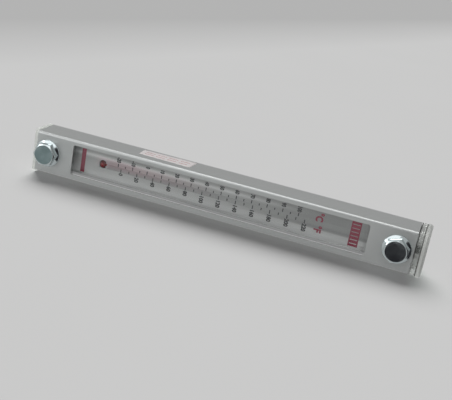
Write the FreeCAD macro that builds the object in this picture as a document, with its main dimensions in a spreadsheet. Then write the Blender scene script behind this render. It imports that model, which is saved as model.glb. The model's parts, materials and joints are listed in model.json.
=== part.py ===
import FreeCAD, Part
import os
import Sketcher

# Fluid level gauge with a built-in glass thermometer, for the wall of an oil tank.
#
# An aluminium channel holds a clear sight body with a T-shaped oil channel inside it. A
# printed film lies in the wide slot of the T, a glass thermometer stands behind the film,
# and two hollow bolts clamp the gauge to the tank and let the oil into the channel.
#
# Frame, in millimetres: X runs along the gauge from its lower end to its upper end, Y from
# its front face to the tank wall, and Z across its width. The origin lies on the mounting
# face, midway between the two bolts.

SIZES = {
    # hollow bolts
    "bolt_spacing": 254.0,
    "bolt_diameter": 10.0,
    "bolt_running_gap": 0.08,
    "thread_diameter": 9.85,
    "thread_reach": 20.0,
    "thread_chamfer": 1.2,
    "relief_diameter": 8.4,
    "relief_length": 1.6,
    "hex_across_flats": 15.0,
    "hex_chamfer": 0.85,
    "head_height": 6.0,
    "head_gap": 0.05,
    "flange_diameter": 19.6,
    "flange_rim": 0.8,
    "flange_height": 1.9,
    "waist_diameter": 8.0,
    "bore_diameter": 4.5,
    "port_diameter": 4.0,
    "bore_overrun": 0.6,
    # how far each bolt's head stands turned, in degrees
    "lower_head_turn": 4.0,
    "upper_head_turn": 17.0,
    # aluminium housing
    "housing_width": 30.0,
    "housing_depth": 22.0,
    "housing_wall": 1.5,
    "housing_corner": 2.0,
    "lower_overhang": 9.0,
    "upper_overhang": 11.0,
    "lip_reach": 1.2,
    "lip_thickness": 1.2,
    "window_inset": 19.5,
    "window_height": 22.0,
    "window_corner": 1.5,
    # clear sight body
    "body_clearance": 0.15,
    "neck_length": 4.0,
    "front_wall": 7.1,
    "channel_width": 10.4,
    "channel_depth": 8.0,
    "slot_width": 22.4,
    "slot_thickness": 0.8,
    # end caps and channel plugs
    "lower_cap_thickness": 3.0,
    "upper_cap_thickness": 3.5,
    "collar_gap": 0.35,
    "collar_clearance": 0.1,
    "cap_overhang": 1.0,
    "cap_setback": 0.2,
    "cap_corner": 2.5,
    "cap_edge": 1.4,
    "boss_length": 0.8,
    "boss_clearance": 0.1,
    "plug_length": 2.8,
    # bolt seals
    "seal_clearance": 0.1,
    "head_seal_diameter": 14.0,
    "tank_seal_diameter": 16.0,
    "tank_seal_height": 2.4,
    "tank_seal_proud": 0.5,
    # printed film
    "film_lap": 1.5,
    "film_thickness": 0.3,
    "film_clearance": 0.1,
    # thermometer
    "bulb_inset": 20.5,
    "tube_diameter": 5.4,
    "tube_length": 153.0,
    "tube_wall": 0.5,
    "tube_chamfer": 1.2,
    "bulb_diameter": 4.4,
    "capillary_diameter": 0.9,
    "column_length": 68.0,
    "liquid_gap": 0.02,
    "clip_width": 4.0,
    "clip_inset": 6.0,
    "clip_clearance": 0.05,
    # paper label
    "label_length": 39.0,
    "label_width": 14.5,
    "label_thickness": 0.1,
    "label_inset": 46.5,
    "label_setback": 1.3,
}


class Size:
    """A length that carries its number and the expression that binds it to the sheet."""

    def __init__(self, value, text):
        self.value = value
        self.text = text

    def __add__(self, other):
        other = as_size(other)
        return Size(self.value + other.value, "(%s + %s)" % (self.text, other.text))

    def __sub__(self, other):
        other = as_size(other)
        return Size(self.value - other.value, "(%s - %s)" % (self.text, other.text))

    def __mul__(self, factor):
        return Size(self.value * factor, "(%s * %s)" % (self.text, factor))

    def __truediv__(self, divisor):
        return Size(self.value / divisor, "(%s / %s)" % (self.text, divisor))

    def __neg__(self):
        return self * -1


def as_size(item):
    """A plain number becomes a length with no tie to the sheet."""
    if isinstance(item, Size):
        return item
    return Size(float(item), str(float(item)))


ZERO = as_size(0)
ALONG_X = FreeCAD.Rotation(FreeCAD.Vector(0, 1, 0), 90)


def make_sheet(document):
    """Write every driving size into the sheet and return them as lengths by name."""
    sheet = document.addObject("Spreadsheet::Sheet", "Sizes")
    lengths = {}
    for row, (name, value) in enumerate(SIZES.items(), start=1):
        sheet.set("A%d" % row, name)
        sheet.set("B%d" % row, str(value))
        sheet.setAlias("B%d" % row, name)
        lengths[name] = Size(value, "Sizes.%s" % name)
    document.recompute()
    return lengths


class Places:
    """Where the faces that several pieces share lie, worked out from the sheet."""

    def __init__(self, lengths):
        s = lengths
        self.bolt = s["bolt_spacing"] / 2
        self.half_width = s["housing_width"] / 2
        self.front = -s["housing_depth"]
        self.housing_low = -self.bolt - s["lower_overhang"]
        self.housing_high = self.bolt + s["upper_overhang"]
        self.inner_half_width = self.half_width - s["housing_wall"]
        self.body_high = self.housing_high + s["neck_length"]
        self.body_front = self.front + s["housing_wall"] + s["body_clearance"]
        self.body_half_width = self.inner_half_width - s["body_clearance"]
        self.slot_front = self.body_front + s["front_wall"]
        self.slot_back = self.slot_front + s["slot_thickness"]
        self.channel_back = self.slot_front + s["channel_depth"]
        self.channel_middle = (self.slot_back + self.channel_back) / 2
        self.channel_half_width = s["channel_width"] / 2
        self.window_end = self.bolt - s["window_inset"]
        self.film_front = self.slot_front + s["film_clearance"]
        self.film_back = self.film_front + s["film_thickness"]
        self.tube_axis = self.film_back + s["film_clearance"] + s["tube_diameter"] / 2
        self.bulb = -self.window_end + s["bulb_inset"]
        self.tube_low = self.bulb - s["bulb_diameter"] / 2 - s["tube_wall"] * 2
        self.tube_high = self.tube_low + s["tube_length"]
        self.head_under = self.front - s["head_gap"]
        self.head_top = self.head_under - s["head_height"]
        self.seal_hole = s["bolt_diameter"] + s["seal_clearance"] * 2


# ---------------------------------------------------------------- drawing helpers

def new_body(document, name):
    body = document.addObject("PartDesign::Body", name)
    body.Label = name
    return body


def new_sketch(body, name, role, offset=ZERO):
    """An empty sketch on one of the body's own origin planes, moved along its normal."""
    sketch = body.newObject("Sketcher::SketchObject", name)
    plane = [item for item in body.Origin.OriginFeatures if item.Role == role][0]
    sketch.AttachmentSupport = (plane, "")
    sketch.MapMode = "FlatFace"
    sketch.setExpression("AttachmentOffset.Base.z", offset.text)
    return sketch


def draw_polygon(sketch, corners):
    """A closed outline through the corners, each held to the sheet by two distances."""
    first = sketch.GeometryCount
    count = len(corners)
    points = [FreeCAD.Vector(across.value, up.value, 0) for across, up in corners]
    for index in range(count):
        following = points[(index + 1) % count]
        sketch.addGeometry(Part.LineSegment(points[index], following), False)
    for index in range(count):
        following = first + (index + 1) % count
        sketch.addConstraint(Sketcher.Constraint("Coincident", first + index, 2, following, 1))
    for index, (across, up) in enumerate(corners):
        hold_point(sketch, first + index, 1, across, up)


def hold_point(sketch, geometry, vertex, across, up):
    for kind, distance in (("DistanceX", across), ("DistanceY", up)):
        held = Sketcher.Constraint(kind, -1, 1, geometry, vertex, distance.value)
        bind_constraint(sketch, sketch.addConstraint(held), distance)


def bind_constraint(sketch, index, length):
    sketch.setExpression("Constraints[%d]" % index, length.text)


def draw_box(sketch, low_across, high_across, low_up, high_up):
    draw_polygon(sketch, [
        (low_across, low_up),
        (high_across, low_up),
        (high_across, high_up),
        (low_across, high_up),
    ])


def draw_circle(sketch, across, up, diameter):
    centre = FreeCAD.Vector(across.value, up.value, 0)
    circle = Part.Circle(centre, FreeCAD.Vector(0, 0, 1), diameter.value / 2)
    index = sketch.addGeometry(circle, False)
    hold_point(sketch, index, 3, across, up)
    held = Sketcher.Constraint("Diameter", index, diameter.value)
    bind_constraint(sketch, sketch.addConstraint(held), diameter)


def draw_hexagon(sketch, across_flats):
    """A regular hexagon about the origin, with two corners on the horizontal axis."""
    circle_radius = across_flats.value / 3 ** 0.5
    points = []
    for corner in range(6):
        turn = FreeCAD.Rotation(FreeCAD.Vector(0, 0, 1), 60 * corner)
        points.append(turn.multVec(FreeCAD.Vector(circle_radius, 0, 0)))
    guide = sketch.addGeometry(
        Part.Circle(FreeCAD.Vector(0, 0, 0), FreeCAD.Vector(0, 0, 1), circle_radius), True)
    sketch.addConstraint(Sketcher.Constraint("Coincident", guide, 3, -1, 1))
    held = Sketcher.Constraint("Diameter", guide, 2 * circle_radius)
    bind_constraint(sketch, sketch.addConstraint(held), across_flats * 2 / 3 ** 0.5)
    sides = []
    for corner in range(6):
        line = Part.LineSegment(points[corner], points[(corner + 1) % 6])
        sides.append(sketch.addGeometry(line, False))
    for corner in range(6):
        following = sides[(corner + 1) % 6]
        sketch.addConstraint(Sketcher.Constraint("Coincident", sides[corner], 2, following, 1))
        sketch.addConstraint(Sketcher.Constraint("PointOnObject", sides[corner], 1, guide))
        if corner:
            sketch.addConstraint(Sketcher.Constraint("Equal", sides[0], sides[corner]))
    sketch.addConstraint(Sketcher.Constraint("PointOnObject", sides[0], 1, -1))


def add_pad(body, sketch, name, length):
    """Grow the sketch along its normal."""
    feature = body.newObject("PartDesign::Pad", name)
    feature.Profile = sketch
    feature.setExpression("Length", length.text)
    return feature


def add_pocket(body, sketch, name, depth, along_normal=False):
    """Cut the sketch against its normal, or along it, and make sure that it cut something."""
    body.Document.recompute()
    before = body.Shape.Volume
    feature = body.newObject("PartDesign::Pocket", name)
    feature.Profile = sketch
    feature.Reversed = along_normal
    feature.setExpression("Length", depth.text)
    body.Document.recompute()
    if feature.Shape.Volume >= before:
        raise RuntimeError("%s cuts nothing from %s" % (name, body.Label))
    return feature


def add_revolution(body, sketch, name, axis="V_Axis"):
    feature = body.newObject("PartDesign::Revolution", name)
    feature.Profile = sketch
    feature.ReferenceAxis = (sketch, [axis])
    feature.Angle = 360
    return feature


def add_groove(body, sketch, name, axis="V_Axis"):
    body.Document.recompute()
    before = body.Shape.Volume
    feature = body.newObject("PartDesign::Groove", name)
    feature.Profile = sketch
    feature.ReferenceAxis = (sketch, [axis])
    feature.Angle = 360
    body.Document.recompute()
    if feature.Shape.Volume >= before:
        raise RuntimeError("%s cuts nothing from %s" % (name, body.Label))
    return feature


def find_edges(body, name, is_wanted):
    """Names of the edges of the body's last feature for which is_wanted(edge) holds."""
    body.Document.recompute()
    wanted = []
    for number, edge in enumerate(body.Tip.Shape.Edges, start=1):
        if is_wanted(edge):
            wanted.append("Edge%d" % number)
    if not wanted:
        raise RuntimeError("%s finds no edge on %s" % (name, body.Label))
    return wanted


def add_fillet(body, name, radius, is_wanted):
    edges = find_edges(body, name, is_wanted)
    base = body.Tip
    feature = body.newObject("PartDesign::Fillet", name)
    feature.Base = (base, edges)
    feature.setExpression("Radius", radius.text)
    body.Document.recompute()


def add_chamfer(body, name, size, is_wanted):
    edges = find_edges(body, name, is_wanted)
    base = body.Tip
    feature = body.newObject("PartDesign::Chamfer", name)
    feature.Base = (base, edges)
    feature.setExpression("Size", size.text)
    body.Document.recompute()


def move_body(body, x=ZERO, y=ZERO, z=ZERO):
    for axis, distance in (("x", x), ("y", y), ("z", z)):
        body.setExpression("Placement.Base.%s" % axis, distance.text)


def near(number, length):
    return abs(number - length.value) < 0.001


def runs_along(edge, axis):
    """True for a straight edge parallel to the axis X, Y or Z."""
    if not isinstance(edge.Curve, Part.Line):
        return False
    box = edge.BoundBox
    spans = {"X": box.XLength, "Y": box.YLength, "Z": box.ZLength}
    own = spans.pop(axis)
    return own > 0.01 and max(spans.values()) < 0.001


# ---------------------------------------------------------------- housing and sight body

def make_housing(document, s, at):
    """Aluminium channel: two lips behind, a long window and two bolt holes in front."""
    body = new_body(document, "housing")
    half = at.half_width
    inner = at.inner_half_width
    lip_edge = inner - s["lip_reach"]
    lip_front = -s["lip_thickness"]
    web_back = at.front + s["housing_wall"]
    profile = new_sketch(body, "channel_profile", "YZ_Plane", at.housing_low)
    draw_polygon(profile, [
        (at.front, -half),
        (ZERO, -half),
        (ZERO, -lip_edge),
        (lip_front, -lip_edge),
        (lip_front, -inner),
        (web_back, -inner),
        (web_back, inner),
        (lip_front, inner),
        (lip_front, lip_edge),
        (ZERO, lip_edge),
        (ZERO, half),
        (at.front, half),
    ])
    add_pad(body, profile, "channel", at.housing_high - at.housing_low)
    add_fillet(body, "front_corners", s["housing_corner"], lambda edge: (
        runs_along(edge, "X") and near(edge.BoundBox.YMin, at.front)))
    window = new_sketch(body, "window_outline", "XZ_Plane", -at.front)
    half_height = s["window_height"] / 2
    draw_box(window, -at.window_end, at.window_end, -half_height, half_height)
    add_pocket(body, window, "window", s["housing_wall"])
    add_fillet(body, "window_corners", s["window_corner"], lambda edge: (
        runs_along(edge, "Y") and near(abs(edge.BoundBox.XMin), at.window_end)))
    holes = new_sketch(body, "bolt_hole_outlines", "XZ_Plane", -at.front)
    for side in (-1, 1):
        draw_circle(holes, at.bolt * side, ZERO,
                    s["head_seal_diameter"] + s["seal_clearance"] * 2)
    add_pocket(body, holes, "bolt_holes", s["housing_wall"])
    return body


def make_sight_body(document, s, at):
    """Clear bar with a T-shaped channel along it and a stepped hole for each bolt."""
    body = new_body(document, "sight_body")
    half = at.body_half_width
    back_half = half - s["lip_reach"]
    rebate = -s["lip_thickness"] - s["body_clearance"]
    slot = s["slot_width"] / 2
    channel = at.channel_half_width
    profile = new_sketch(body, "bar_profile", "YZ_Plane", at.housing_low)
    draw_polygon(profile, [
        (at.body_front, -half),
        (rebate, -half),
        (rebate, -back_half),
        (ZERO, -back_half),
        (ZERO, back_half),
        (rebate, back_half),
        (rebate, half),
        (at.body_front, half),
    ])
    draw_polygon(profile, [
        (at.slot_front, -slot),
        (at.slot_back, -slot),
        (at.slot_back, -channel),
        (at.channel_back, -channel),
        (at.channel_back, channel),
        (at.slot_back, channel),
        (at.slot_back, slot),
        (at.slot_front, slot),
    ])
    add_pad(body, profile, "bar", at.body_high - at.housing_low)
    holes = new_sketch(body, "bolt_hole_outlines", "XZ_Plane", -at.body_front)
    seats = new_sketch(body, "seal_seat_outlines", "XZ_Plane")
    for side in (-1, 1):
        draw_circle(holes, at.bolt * side, ZERO,
                    s["bolt_diameter"] + s["bolt_running_gap"] * 2)
        draw_circle(seats, at.bolt * side, ZERO,
                    s["tank_seal_diameter"] + s["seal_clearance"] * 2)
    add_pocket(body, holes, "bolt_holes", -at.body_front)
    add_pocket(body, seats, "seal_seats", s["tank_seal_height"] - s["tank_seal_proud"],
               along_normal=True)
    return body


def add_cap_plate(body, s, at, low_face, thickness, outer_face):
    """Clear plate, a little taller than the housing, with soft corners and outer edge."""
    half = at.half_width + s["cap_overhang"]
    plate = new_sketch(body, "plate_outline", "YZ_Plane", low_face)
    draw_box(plate, at.front + s["cap_setback"], ZERO, -half, half)
    add_pad(body, plate, "plate", thickness)
    add_fillet(body, "plate_corners", s["cap_corner"], lambda edge: (
        runs_along(edge, "X") and near(abs(edge.BoundBox.ZMin), half)))
    add_chamfer(body, "outer_edge", s["cap_edge"], lambda edge: (
        near(edge.BoundBox.XMin, outer_face) and near(edge.BoundBox.XMax, outer_face)))


def add_boss(body, s, at, low_face):
    """Block on the cap's inner face that enters the oil channel."""
    gap = s["boss_clearance"]
    boss = new_sketch(body, "boss_outline", "YZ_Plane", low_face)
    draw_box(boss, at.slot_back + gap, at.channel_back - gap,
             -at.channel_half_width + gap, at.channel_half_width - gap)
    add_pad(body, boss, "boss", s["boss_length"])


def add_collar(body, s, at):
    """Collar round the neck of the sight body, flush with the housing, open to the tank."""
    low_face = at.housing_high + s["collar_gap"]
    front = at.front + s["cap_setback"]
    half = at.half_width
    neck_front = at.body_front - s["collar_clearance"]
    neck_half = at.body_half_width + s["collar_clearance"]
    collar = new_sketch(body, "collar_outline", "YZ_Plane", low_face)
    draw_polygon(collar, [
        (ZERO, half),
        (front, half),
        (front, -half),
        (ZERO, -half),
        (ZERO, -neck_half),
        (neck_front, -neck_half),
        (neck_front, neck_half),
        (ZERO, neck_half),
    ])
    add_pad(body, collar, "collar", at.body_high - low_face)
    add_fillet(body, "collar_corners", s["housing_corner"], lambda edge: (
        runs_along(edge, "X") and near(edge.BoundBox.YMin, front)
        and near(abs(edge.BoundBox.ZMin), half)))


def make_lower_end_cap(document, s, at):
    """Plain end plate that closes the housing and the sight body together."""
    body = new_body(document, "lower_end_cap")
    thickness = s["lower_cap_thickness"]
    outer_face = at.housing_low - thickness
    add_cap_plate(body, s, at, outer_face, thickness, outer_face)
    add_boss(body, s, at, at.housing_low)
    return body


def make_upper_end_cap(document, s, at):
    """End plate with a collar round the end of the sight body that shows past the housing."""
    body = new_body(document, "upper_end_cap")
    thickness = s["upper_cap_thickness"]
    add_collar(body, s, at)
    add_cap_plate(body, s, at, at.body_high, thickness, at.body_high + thickness)
    add_boss(body, s, at, at.body_high - s["boss_length"])
    return body


def make_channel_plug(document, s, at, name, end_face, outward):
    """Rubber block that stops the channel behind the end cap's boss."""
    body = new_body(document, name)
    outer_face = end_face - s["boss_length"] * outward
    low_face = outer_face
    if outward > 0:
        low_face = outer_face - s["plug_length"]
    outline = new_sketch(body, "plug_outline", "YZ_Plane", low_face)
    draw_box(outline, at.slot_back, at.channel_back,
             -at.channel_half_width, at.channel_half_width)
    add_pad(body, outline, "plug", s["plug_length"])
    return body


# ---------------------------------------------------------------- bolts and seals

def make_bolt(document, s, at, name, side, head_turn):
    """Hollow bolt: flanged hex head, waist with a cross port, bore open at the thread end."""
    body = new_body(document, name)
    shank = s["bolt_diameter"] / 2
    thread = s["thread_diameter"] / 2
    relief = s["relief_diameter"] / 2
    waist = s["waist_diameter"] / 2
    flange = s["flange_diameter"] / 2
    hex_half = s["hex_across_flats"] / 2
    flange_top = at.head_under - s["flange_height"]
    profile = new_sketch(body, "turned_profile", "XY_Plane")
    draw_polygon(profile, [
        (ZERO, s["thread_reach"]),
        (thread - s["thread_chamfer"], s["thread_reach"]),
        (thread, s["thread_reach"] - s["thread_chamfer"]),
        (thread, s["relief_length"]),
        (relief, s["relief_length"]),
        (relief, ZERO),
        (shank, ZERO),
        (shank, at.channel_back),
        (waist, at.channel_back),
        (waist, at.slot_front),
        (shank, at.slot_front),
        (shank, at.head_under),
        (flange, at.head_under),
        (flange, at.head_under - s["flange_rim"]),
        (hex_half, flange_top),
        (ZERO, flange_top),
    ])
    add_revolution(body, profile, "turned_blank")
    hexagon = new_sketch(body, "hexagon", "XZ_Plane", -flange_top)
    draw_hexagon(hexagon, s["hex_across_flats"])
    add_pad(body, hexagon, "hex_head", flange_top - at.head_top)
    corner = hex_half * (2 / 3 ** 0.5) + s["hex_chamfer"]
    ring_inner = hex_half - s["hex_chamfer"]
    ring = new_sketch(body, "head_chamfer_profile", "XY_Plane")
    drop = (corner - ring_inner) / 3 ** 0.5
    draw_polygon(ring, [
        (ring_inner, at.head_top),
        (corner, at.head_top),
        (corner, at.head_top + drop),
    ])
    add_groove(body, ring, "head_chamfer")
    bore = new_sketch(body, "bore_outline", "XZ_Plane", -s["thread_reach"])
    draw_circle(bore, ZERO, ZERO, s["bore_diameter"])
    bore_end = at.channel_middle - s["port_diameter"] / 2 - s["bore_overrun"]
    add_pocket(body, bore, "bore", s["thread_reach"] - bore_end, along_normal=True)
    port = new_sketch(body, "cross_port_outline", "YZ_Plane", -shank)
    draw_circle(port, at.channel_middle, ZERO, s["port_diameter"])
    add_pocket(body, port, "cross_port", s["bolt_diameter"], along_normal=True)
    body.Placement.Rotation = FreeCAD.Rotation(FreeCAD.Vector(0, -1, 0), 1)
    body.setExpression("Placement.Rotation.Angle", "%s * 1 deg" % head_turn.text)
    move_body(body, x=at.bolt * side)
    return body


def make_seal(document, s, at, name, side, diameter, front, back):
    """Flat rubber ring around a bolt, between two faces."""
    body = new_body(document, name)
    outline = new_sketch(body, "ring_profile", "XY_Plane")
    draw_box(outline, at.seal_hole / 2, diameter / 2, front, back)
    add_revolution(body, outline, "ring")
    move_body(body, x=at.bolt * side)
    return body


# ---------------------------------------------------------------- film and thermometer

def make_scale_film(document, s, at):
    """Clear film that carries the printed scale, in the wide slot of the channel."""
    body = new_body(document, "scale_film")
    half_length = at.window_end + s["film_lap"]
    half_height = s["slot_width"] / 2 - s["film_clearance"]
    outline = new_sketch(body, "film_outline", "XZ_Plane", -at.film_back)
    draw_box(outline, -half_length, half_length, -half_height, half_height)
    add_pad(body, outline, "film", s["film_thickness"])
    return body


def make_rod(document, name, diameter, length, start):
    """A round rod along X from start, centred on the thermometer's axis."""
    rod = document.addObject("Part::Cylinder", name)
    rod.Placement.Rotation = ALONG_X
    rod.setExpression("Radius", (diameter / 2).text)
    rod.setExpression("Height", length.text)
    rod.setExpression("Placement.Base.x", start.text)
    return rod


def make_ball(document, name, diameter):
    ball = document.addObject("Part::Sphere", name)
    ball.Placement.Rotation = ALONG_X
    ball.setExpression("Radius", (diameter / 2).text)
    return ball


def make_bulb_and_bore(document, name, s, gap, bore_length):
    """The space that the spirit fills: a round bulb and a fine bore along the tube."""
    ball = make_ball(document, name + "_ball", s["bulb_diameter"] - gap * 2)
    bore = make_rod(document, name + "_bore", s["capillary_diameter"] - gap * 2,
                    bore_length, ZERO)
    joined = document.addObject("Part::Fuse", name)
    joined.Base = ball
    joined.Tool = bore
    return joined


def make_thermometer_tube(document, s, at):
    """Sealed glass tube with chamfered ends, a bulb at its lower end and a fine bore."""
    lower_end = at.tube_low - at.bulb
    rod = make_rod(document, "tube_rod", s["tube_diameter"], s["tube_length"], lower_end)
    document.recompute()
    chamfered = document.addObject("Part::Chamfer", "tube_chamfered")
    chamfered.Base = rod
    width = s["tube_chamfer"].value
    ends = []
    for number, edge in enumerate(rod.Shape.Edges, start=1):
        if isinstance(edge.Curve, Part.Circle):
            ends.append((number, width, width))
    chamfered.Edges = ends
    bore_length = s["tube_length"] + lower_end - s["tube_diameter"] / 2
    cavity = make_bulb_and_bore(document, "tube_cavity", s, ZERO, bore_length)
    tube = document.addObject("Part::Cut", "thermometer_tube")
    tube.Label = "thermometer_tube"
    tube.Base = chamfered
    tube.Tool = cavity
    move_body(tube, x=at.bulb, y=at.tube_axis)
    return tube


def make_thermometer_liquid(document, s, at):
    """Red spirit: it fills the bulb and part of the bore."""
    liquid = make_bulb_and_bore(document, "thermometer_liquid", s, s["liquid_gap"],
                                s["column_length"])
    liquid.Label = "thermometer_liquid"
    move_body(liquid, x=at.bulb, y=at.tube_axis)
    return liquid


def make_tube_clip(document, s, at, name, low_face):
    """Clear snap-in cradle that fills the channel and holds the tube against the film."""
    body = new_body(document, name)
    gap = s["clip_clearance"]
    outline = new_sketch(body, "cradle_outline", "YZ_Plane", low_face)
    draw_box(outline, at.slot_back + gap, at.channel_back - gap,
             -at.channel_half_width + gap, at.channel_half_width - gap)
    add_pad(body, outline, "cradle", s["clip_width"])
    seat = new_sketch(body, "tube_seat_outline", "YZ_Plane", low_face)
    draw_circle(seat, at.tube_axis, ZERO, s["tube_diameter"] + gap * 2)
    add_pocket(body, seat, "tube_seat", s["clip_width"], along_normal=True)
    return body


def make_paper_label(document, s, at):
    """Bare paper label on the upper long side of the housing."""
    body = new_body(document, "paper_label")
    outline = new_sketch(body, "label_outline", "XY_Plane", at.half_width)
    low_end = -at.window_end + s["label_inset"]
    back = -s["label_setback"]
    draw_box(outline, low_end, low_end + s["label_length"], back - s["label_width"], back)
    add_pad(body, outline, "label", s["label_thickness"])
    return body


def make_gauge(document):
    """Build every piece of the gauge and return them as a list."""
    s = make_sheet(document)
    at = Places(s)
    pieces = [
        make_housing(document, s, at),
        make_sight_body(document, s, at),
        make_scale_film(document, s, at),
        make_thermometer_tube(document, s, at),
        make_thermometer_liquid(document, s, at),
        make_paper_label(document, s, at),
    ]
    pieces.append(make_tube_clip(document, s, at, "lower_tube_clip",
                                 at.tube_low + s["clip_inset"]))
    pieces.append(make_tube_clip(document, s, at, "upper_tube_clip",
                                 at.tube_high - s["clip_inset"] - s["clip_width"]))
    pieces.append(make_lower_end_cap(document, s, at))
    pieces.append(make_upper_end_cap(document, s, at))
    for end, side, face in (("lower", -1, at.housing_low), ("upper", 1, at.body_high)):
        pieces.append(make_channel_plug(document, s, at, end + "_channel_plug", face, side))
        pieces.append(make_bolt(document, s, at, end + "_bolt", side, s[end + "_head_turn"]))
        pieces.append(make_seal(document, s, at, end + "_head_seal", side,
                                s["head_seal_diameter"], at.front, at.body_front))
        pieces.append(make_seal(document, s, at, end + "_tank_seal", side,
                                s["tank_seal_diameter"],
                                s["tank_seal_proud"] - s["tank_seal_height"],
                                s["tank_seal_proud"]))
    document.recompute()
    return pieces


def check_document(document, pieces):
    """Stop on any feature that failed and any piece that is not one good solid."""
    for item in document.Objects:
        if "Invalid" in item.State or "Error" in item.State:
            raise RuntimeError("%s failed: %s" % (item.Label, item.State))
    for piece in pieces:
        if piece.Shape.isNull() or not piece.Shape.isValid() or not piece.Shape.Solids:
            raise RuntimeError("%s has no good solid" % piece.Label)


def write_pieces(pieces):
    os.makedirs("parts", exist_ok=True)
    for piece in pieces:
        piece.Shape.exportStep("parts/%s.step" % piece.Label)
        box = piece.Shape.BoundBox
        print("%-20s %8.1f mm3  X %.2f..%.2f  Y %.2f..%.2f  Z %.2f..%.2f" % (
            piece.Label, piece.Shape.Volume,
            box.XMin, box.XMax, box.YMin, box.YMax, box.ZMin, box.ZMax))


gauge = FreeCAD.newDocument("level_gauge")
gauge_pieces = make_gauge(gauge)
check_document(gauge, gauge_pieces)
write_pieces(gauge_pieces)
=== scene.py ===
import json
import math

import bmesh
import bpy
from mathutils import Matrix, Vector, noise


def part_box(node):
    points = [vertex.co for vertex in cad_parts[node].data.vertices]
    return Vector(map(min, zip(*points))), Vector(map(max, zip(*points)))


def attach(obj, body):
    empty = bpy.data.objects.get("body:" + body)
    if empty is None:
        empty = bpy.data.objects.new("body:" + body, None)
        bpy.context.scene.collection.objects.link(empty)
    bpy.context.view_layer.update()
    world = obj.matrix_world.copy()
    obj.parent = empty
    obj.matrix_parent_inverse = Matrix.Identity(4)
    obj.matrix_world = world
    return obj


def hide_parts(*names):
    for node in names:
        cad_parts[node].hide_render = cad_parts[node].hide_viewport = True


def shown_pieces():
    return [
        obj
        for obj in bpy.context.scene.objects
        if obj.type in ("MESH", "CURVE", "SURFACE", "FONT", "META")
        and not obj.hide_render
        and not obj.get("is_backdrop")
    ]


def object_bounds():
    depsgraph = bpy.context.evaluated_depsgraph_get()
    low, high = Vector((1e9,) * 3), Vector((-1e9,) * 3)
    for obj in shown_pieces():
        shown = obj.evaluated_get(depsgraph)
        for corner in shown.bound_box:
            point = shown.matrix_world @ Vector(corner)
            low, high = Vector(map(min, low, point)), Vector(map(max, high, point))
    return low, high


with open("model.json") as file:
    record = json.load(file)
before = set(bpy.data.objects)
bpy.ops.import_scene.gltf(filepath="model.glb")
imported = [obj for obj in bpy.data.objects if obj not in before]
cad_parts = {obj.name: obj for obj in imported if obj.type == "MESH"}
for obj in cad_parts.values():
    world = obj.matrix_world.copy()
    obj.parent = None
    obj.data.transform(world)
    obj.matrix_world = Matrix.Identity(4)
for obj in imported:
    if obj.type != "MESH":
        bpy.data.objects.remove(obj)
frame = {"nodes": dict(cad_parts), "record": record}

# Looks of a fluid level gauge with a built-in thermometer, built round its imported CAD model.
#
# Frame, in metres: X runs along the gauge from its lower end to its upper end, Y from the
# front face to the tank wall, and Z across its width. It stands on its long side.

bl_info = {
    "name": "Fluid Level Gauge",
    "version": (1, 0, 0),
    "blender": (4, 5, 0),
    "location": "3D View > Sidebar > Level Gauge",
    "description": "Dresses a fluid level gauge with a thermometer and sets its stage",
    "category": "Object",
}

MM = 0.001
GAUGE = "gauge_body"
PACKED_BOUNDS = [list(corner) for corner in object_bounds()]

HOUSING_LOW, HOUSING_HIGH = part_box("housing")
BODY_LOW, BODY_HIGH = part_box("sight_body")
FILM_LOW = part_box("scale_film")[0]
LABEL_LOW, LABEL_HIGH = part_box("paper_label")
REST_HEIGHT = PACKED_BOUNDS[0][2]
FRONT_MIDDLE = Vector((0, HOUSING_LOW.y, 0))
# Height above the floor of the sheets that give painted reflections.
REFLECTION_SHEET_HEIGHT = REST_HEIGHT + 0.5 * MM

# Air between the film and what is printed on it, and the print's thickness.
PRINT_GAP, PRINT_DEPTH = 0.01 * MM, 0.02 * MM

# Height of a digit in a font of size 1.
DIGIT_SHARE = 0.73

# Painted light and shade on the film against its place across the gauge in mm, at its lower and
# its upper end.
LOWER_PAINTED_SHADING = ((-10.5, 1.1), (-9.2, 1.2), (-8.2, 1.48), (-6.0, 1.4), (-3.5, 1.2), (1.0, 1.0),
               (3.2, 0.9), (4.4, 1.12), (5.2, 1.5), (6.1, 1.5), (7.0, 1.08), (7.8, 0.9),
               (9.0, 0.87))
UPPER_PAINTED_SHADING = ((-10.0, 1.4), (-8.6, 1.56), (-4.2, 1.36), (-3.4, 0.84), (-2.6, 0.67),
               (-1.6, 0.67), (-0.8, 0.76), (2.0, 0.76), (2.8, 0.7), (9.0, 0.72))


# ---------------------------------------------------------------- settings

def length(name, description, millimetres):
    """A length property, given in millimetres and kept in metres."""
    return bpy.props.FloatProperty(
        name=name, description=description, default=millimetres * MM,
        unit="LENGTH", subtype="DISTANCE", precision=5)


def share(name, description, default):
    return bpy.props.FloatProperty(
        name=name, description=description, default=default, min=0.0, max=1.0,
        subtype="FACTOR")


def angle(name, description, degrees):
    return bpy.props.FloatProperty(
        name=name, description=description, default=math.radians(degrees),
        unit="ROTATION", subtype="ANGLE")


def colour(name, description, default):
    return bpy.props.FloatVectorProperty(
        name=name, description=description, default=default, size=3, min=0.0, max=1.0,
        subtype="COLOR")


def plain(name, description, default, **more):
    return bpy.props.FloatProperty(
        name=name, description=description, default=default, **more)


class MetalSettings(bpy.types.PropertyGroup):
    """Finishes of the extruded housing and the plated bolts."""

    aluminium: colour("Aluminium", "Colour of the satin anodised housing", (0.475, 0.49, 0.485))
    aluminium_roughness: share("Aluminium Roughness", "How matt the housing is", 0.36)
    aluminium_metallic: share("Aluminium Metallic", "How much the oxide layer lets through", 0.55)
    die_line_width: length("Die Line Width", "Width of the faint lines along the extrusion", 0.5)
    zinc: colour("Zinc", "Colour of the bright zinc plating", (0.62, 0.68, 0.69))
    zinc_roughness: share("Zinc Roughness", "How matt the plating is", 0.1)


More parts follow.
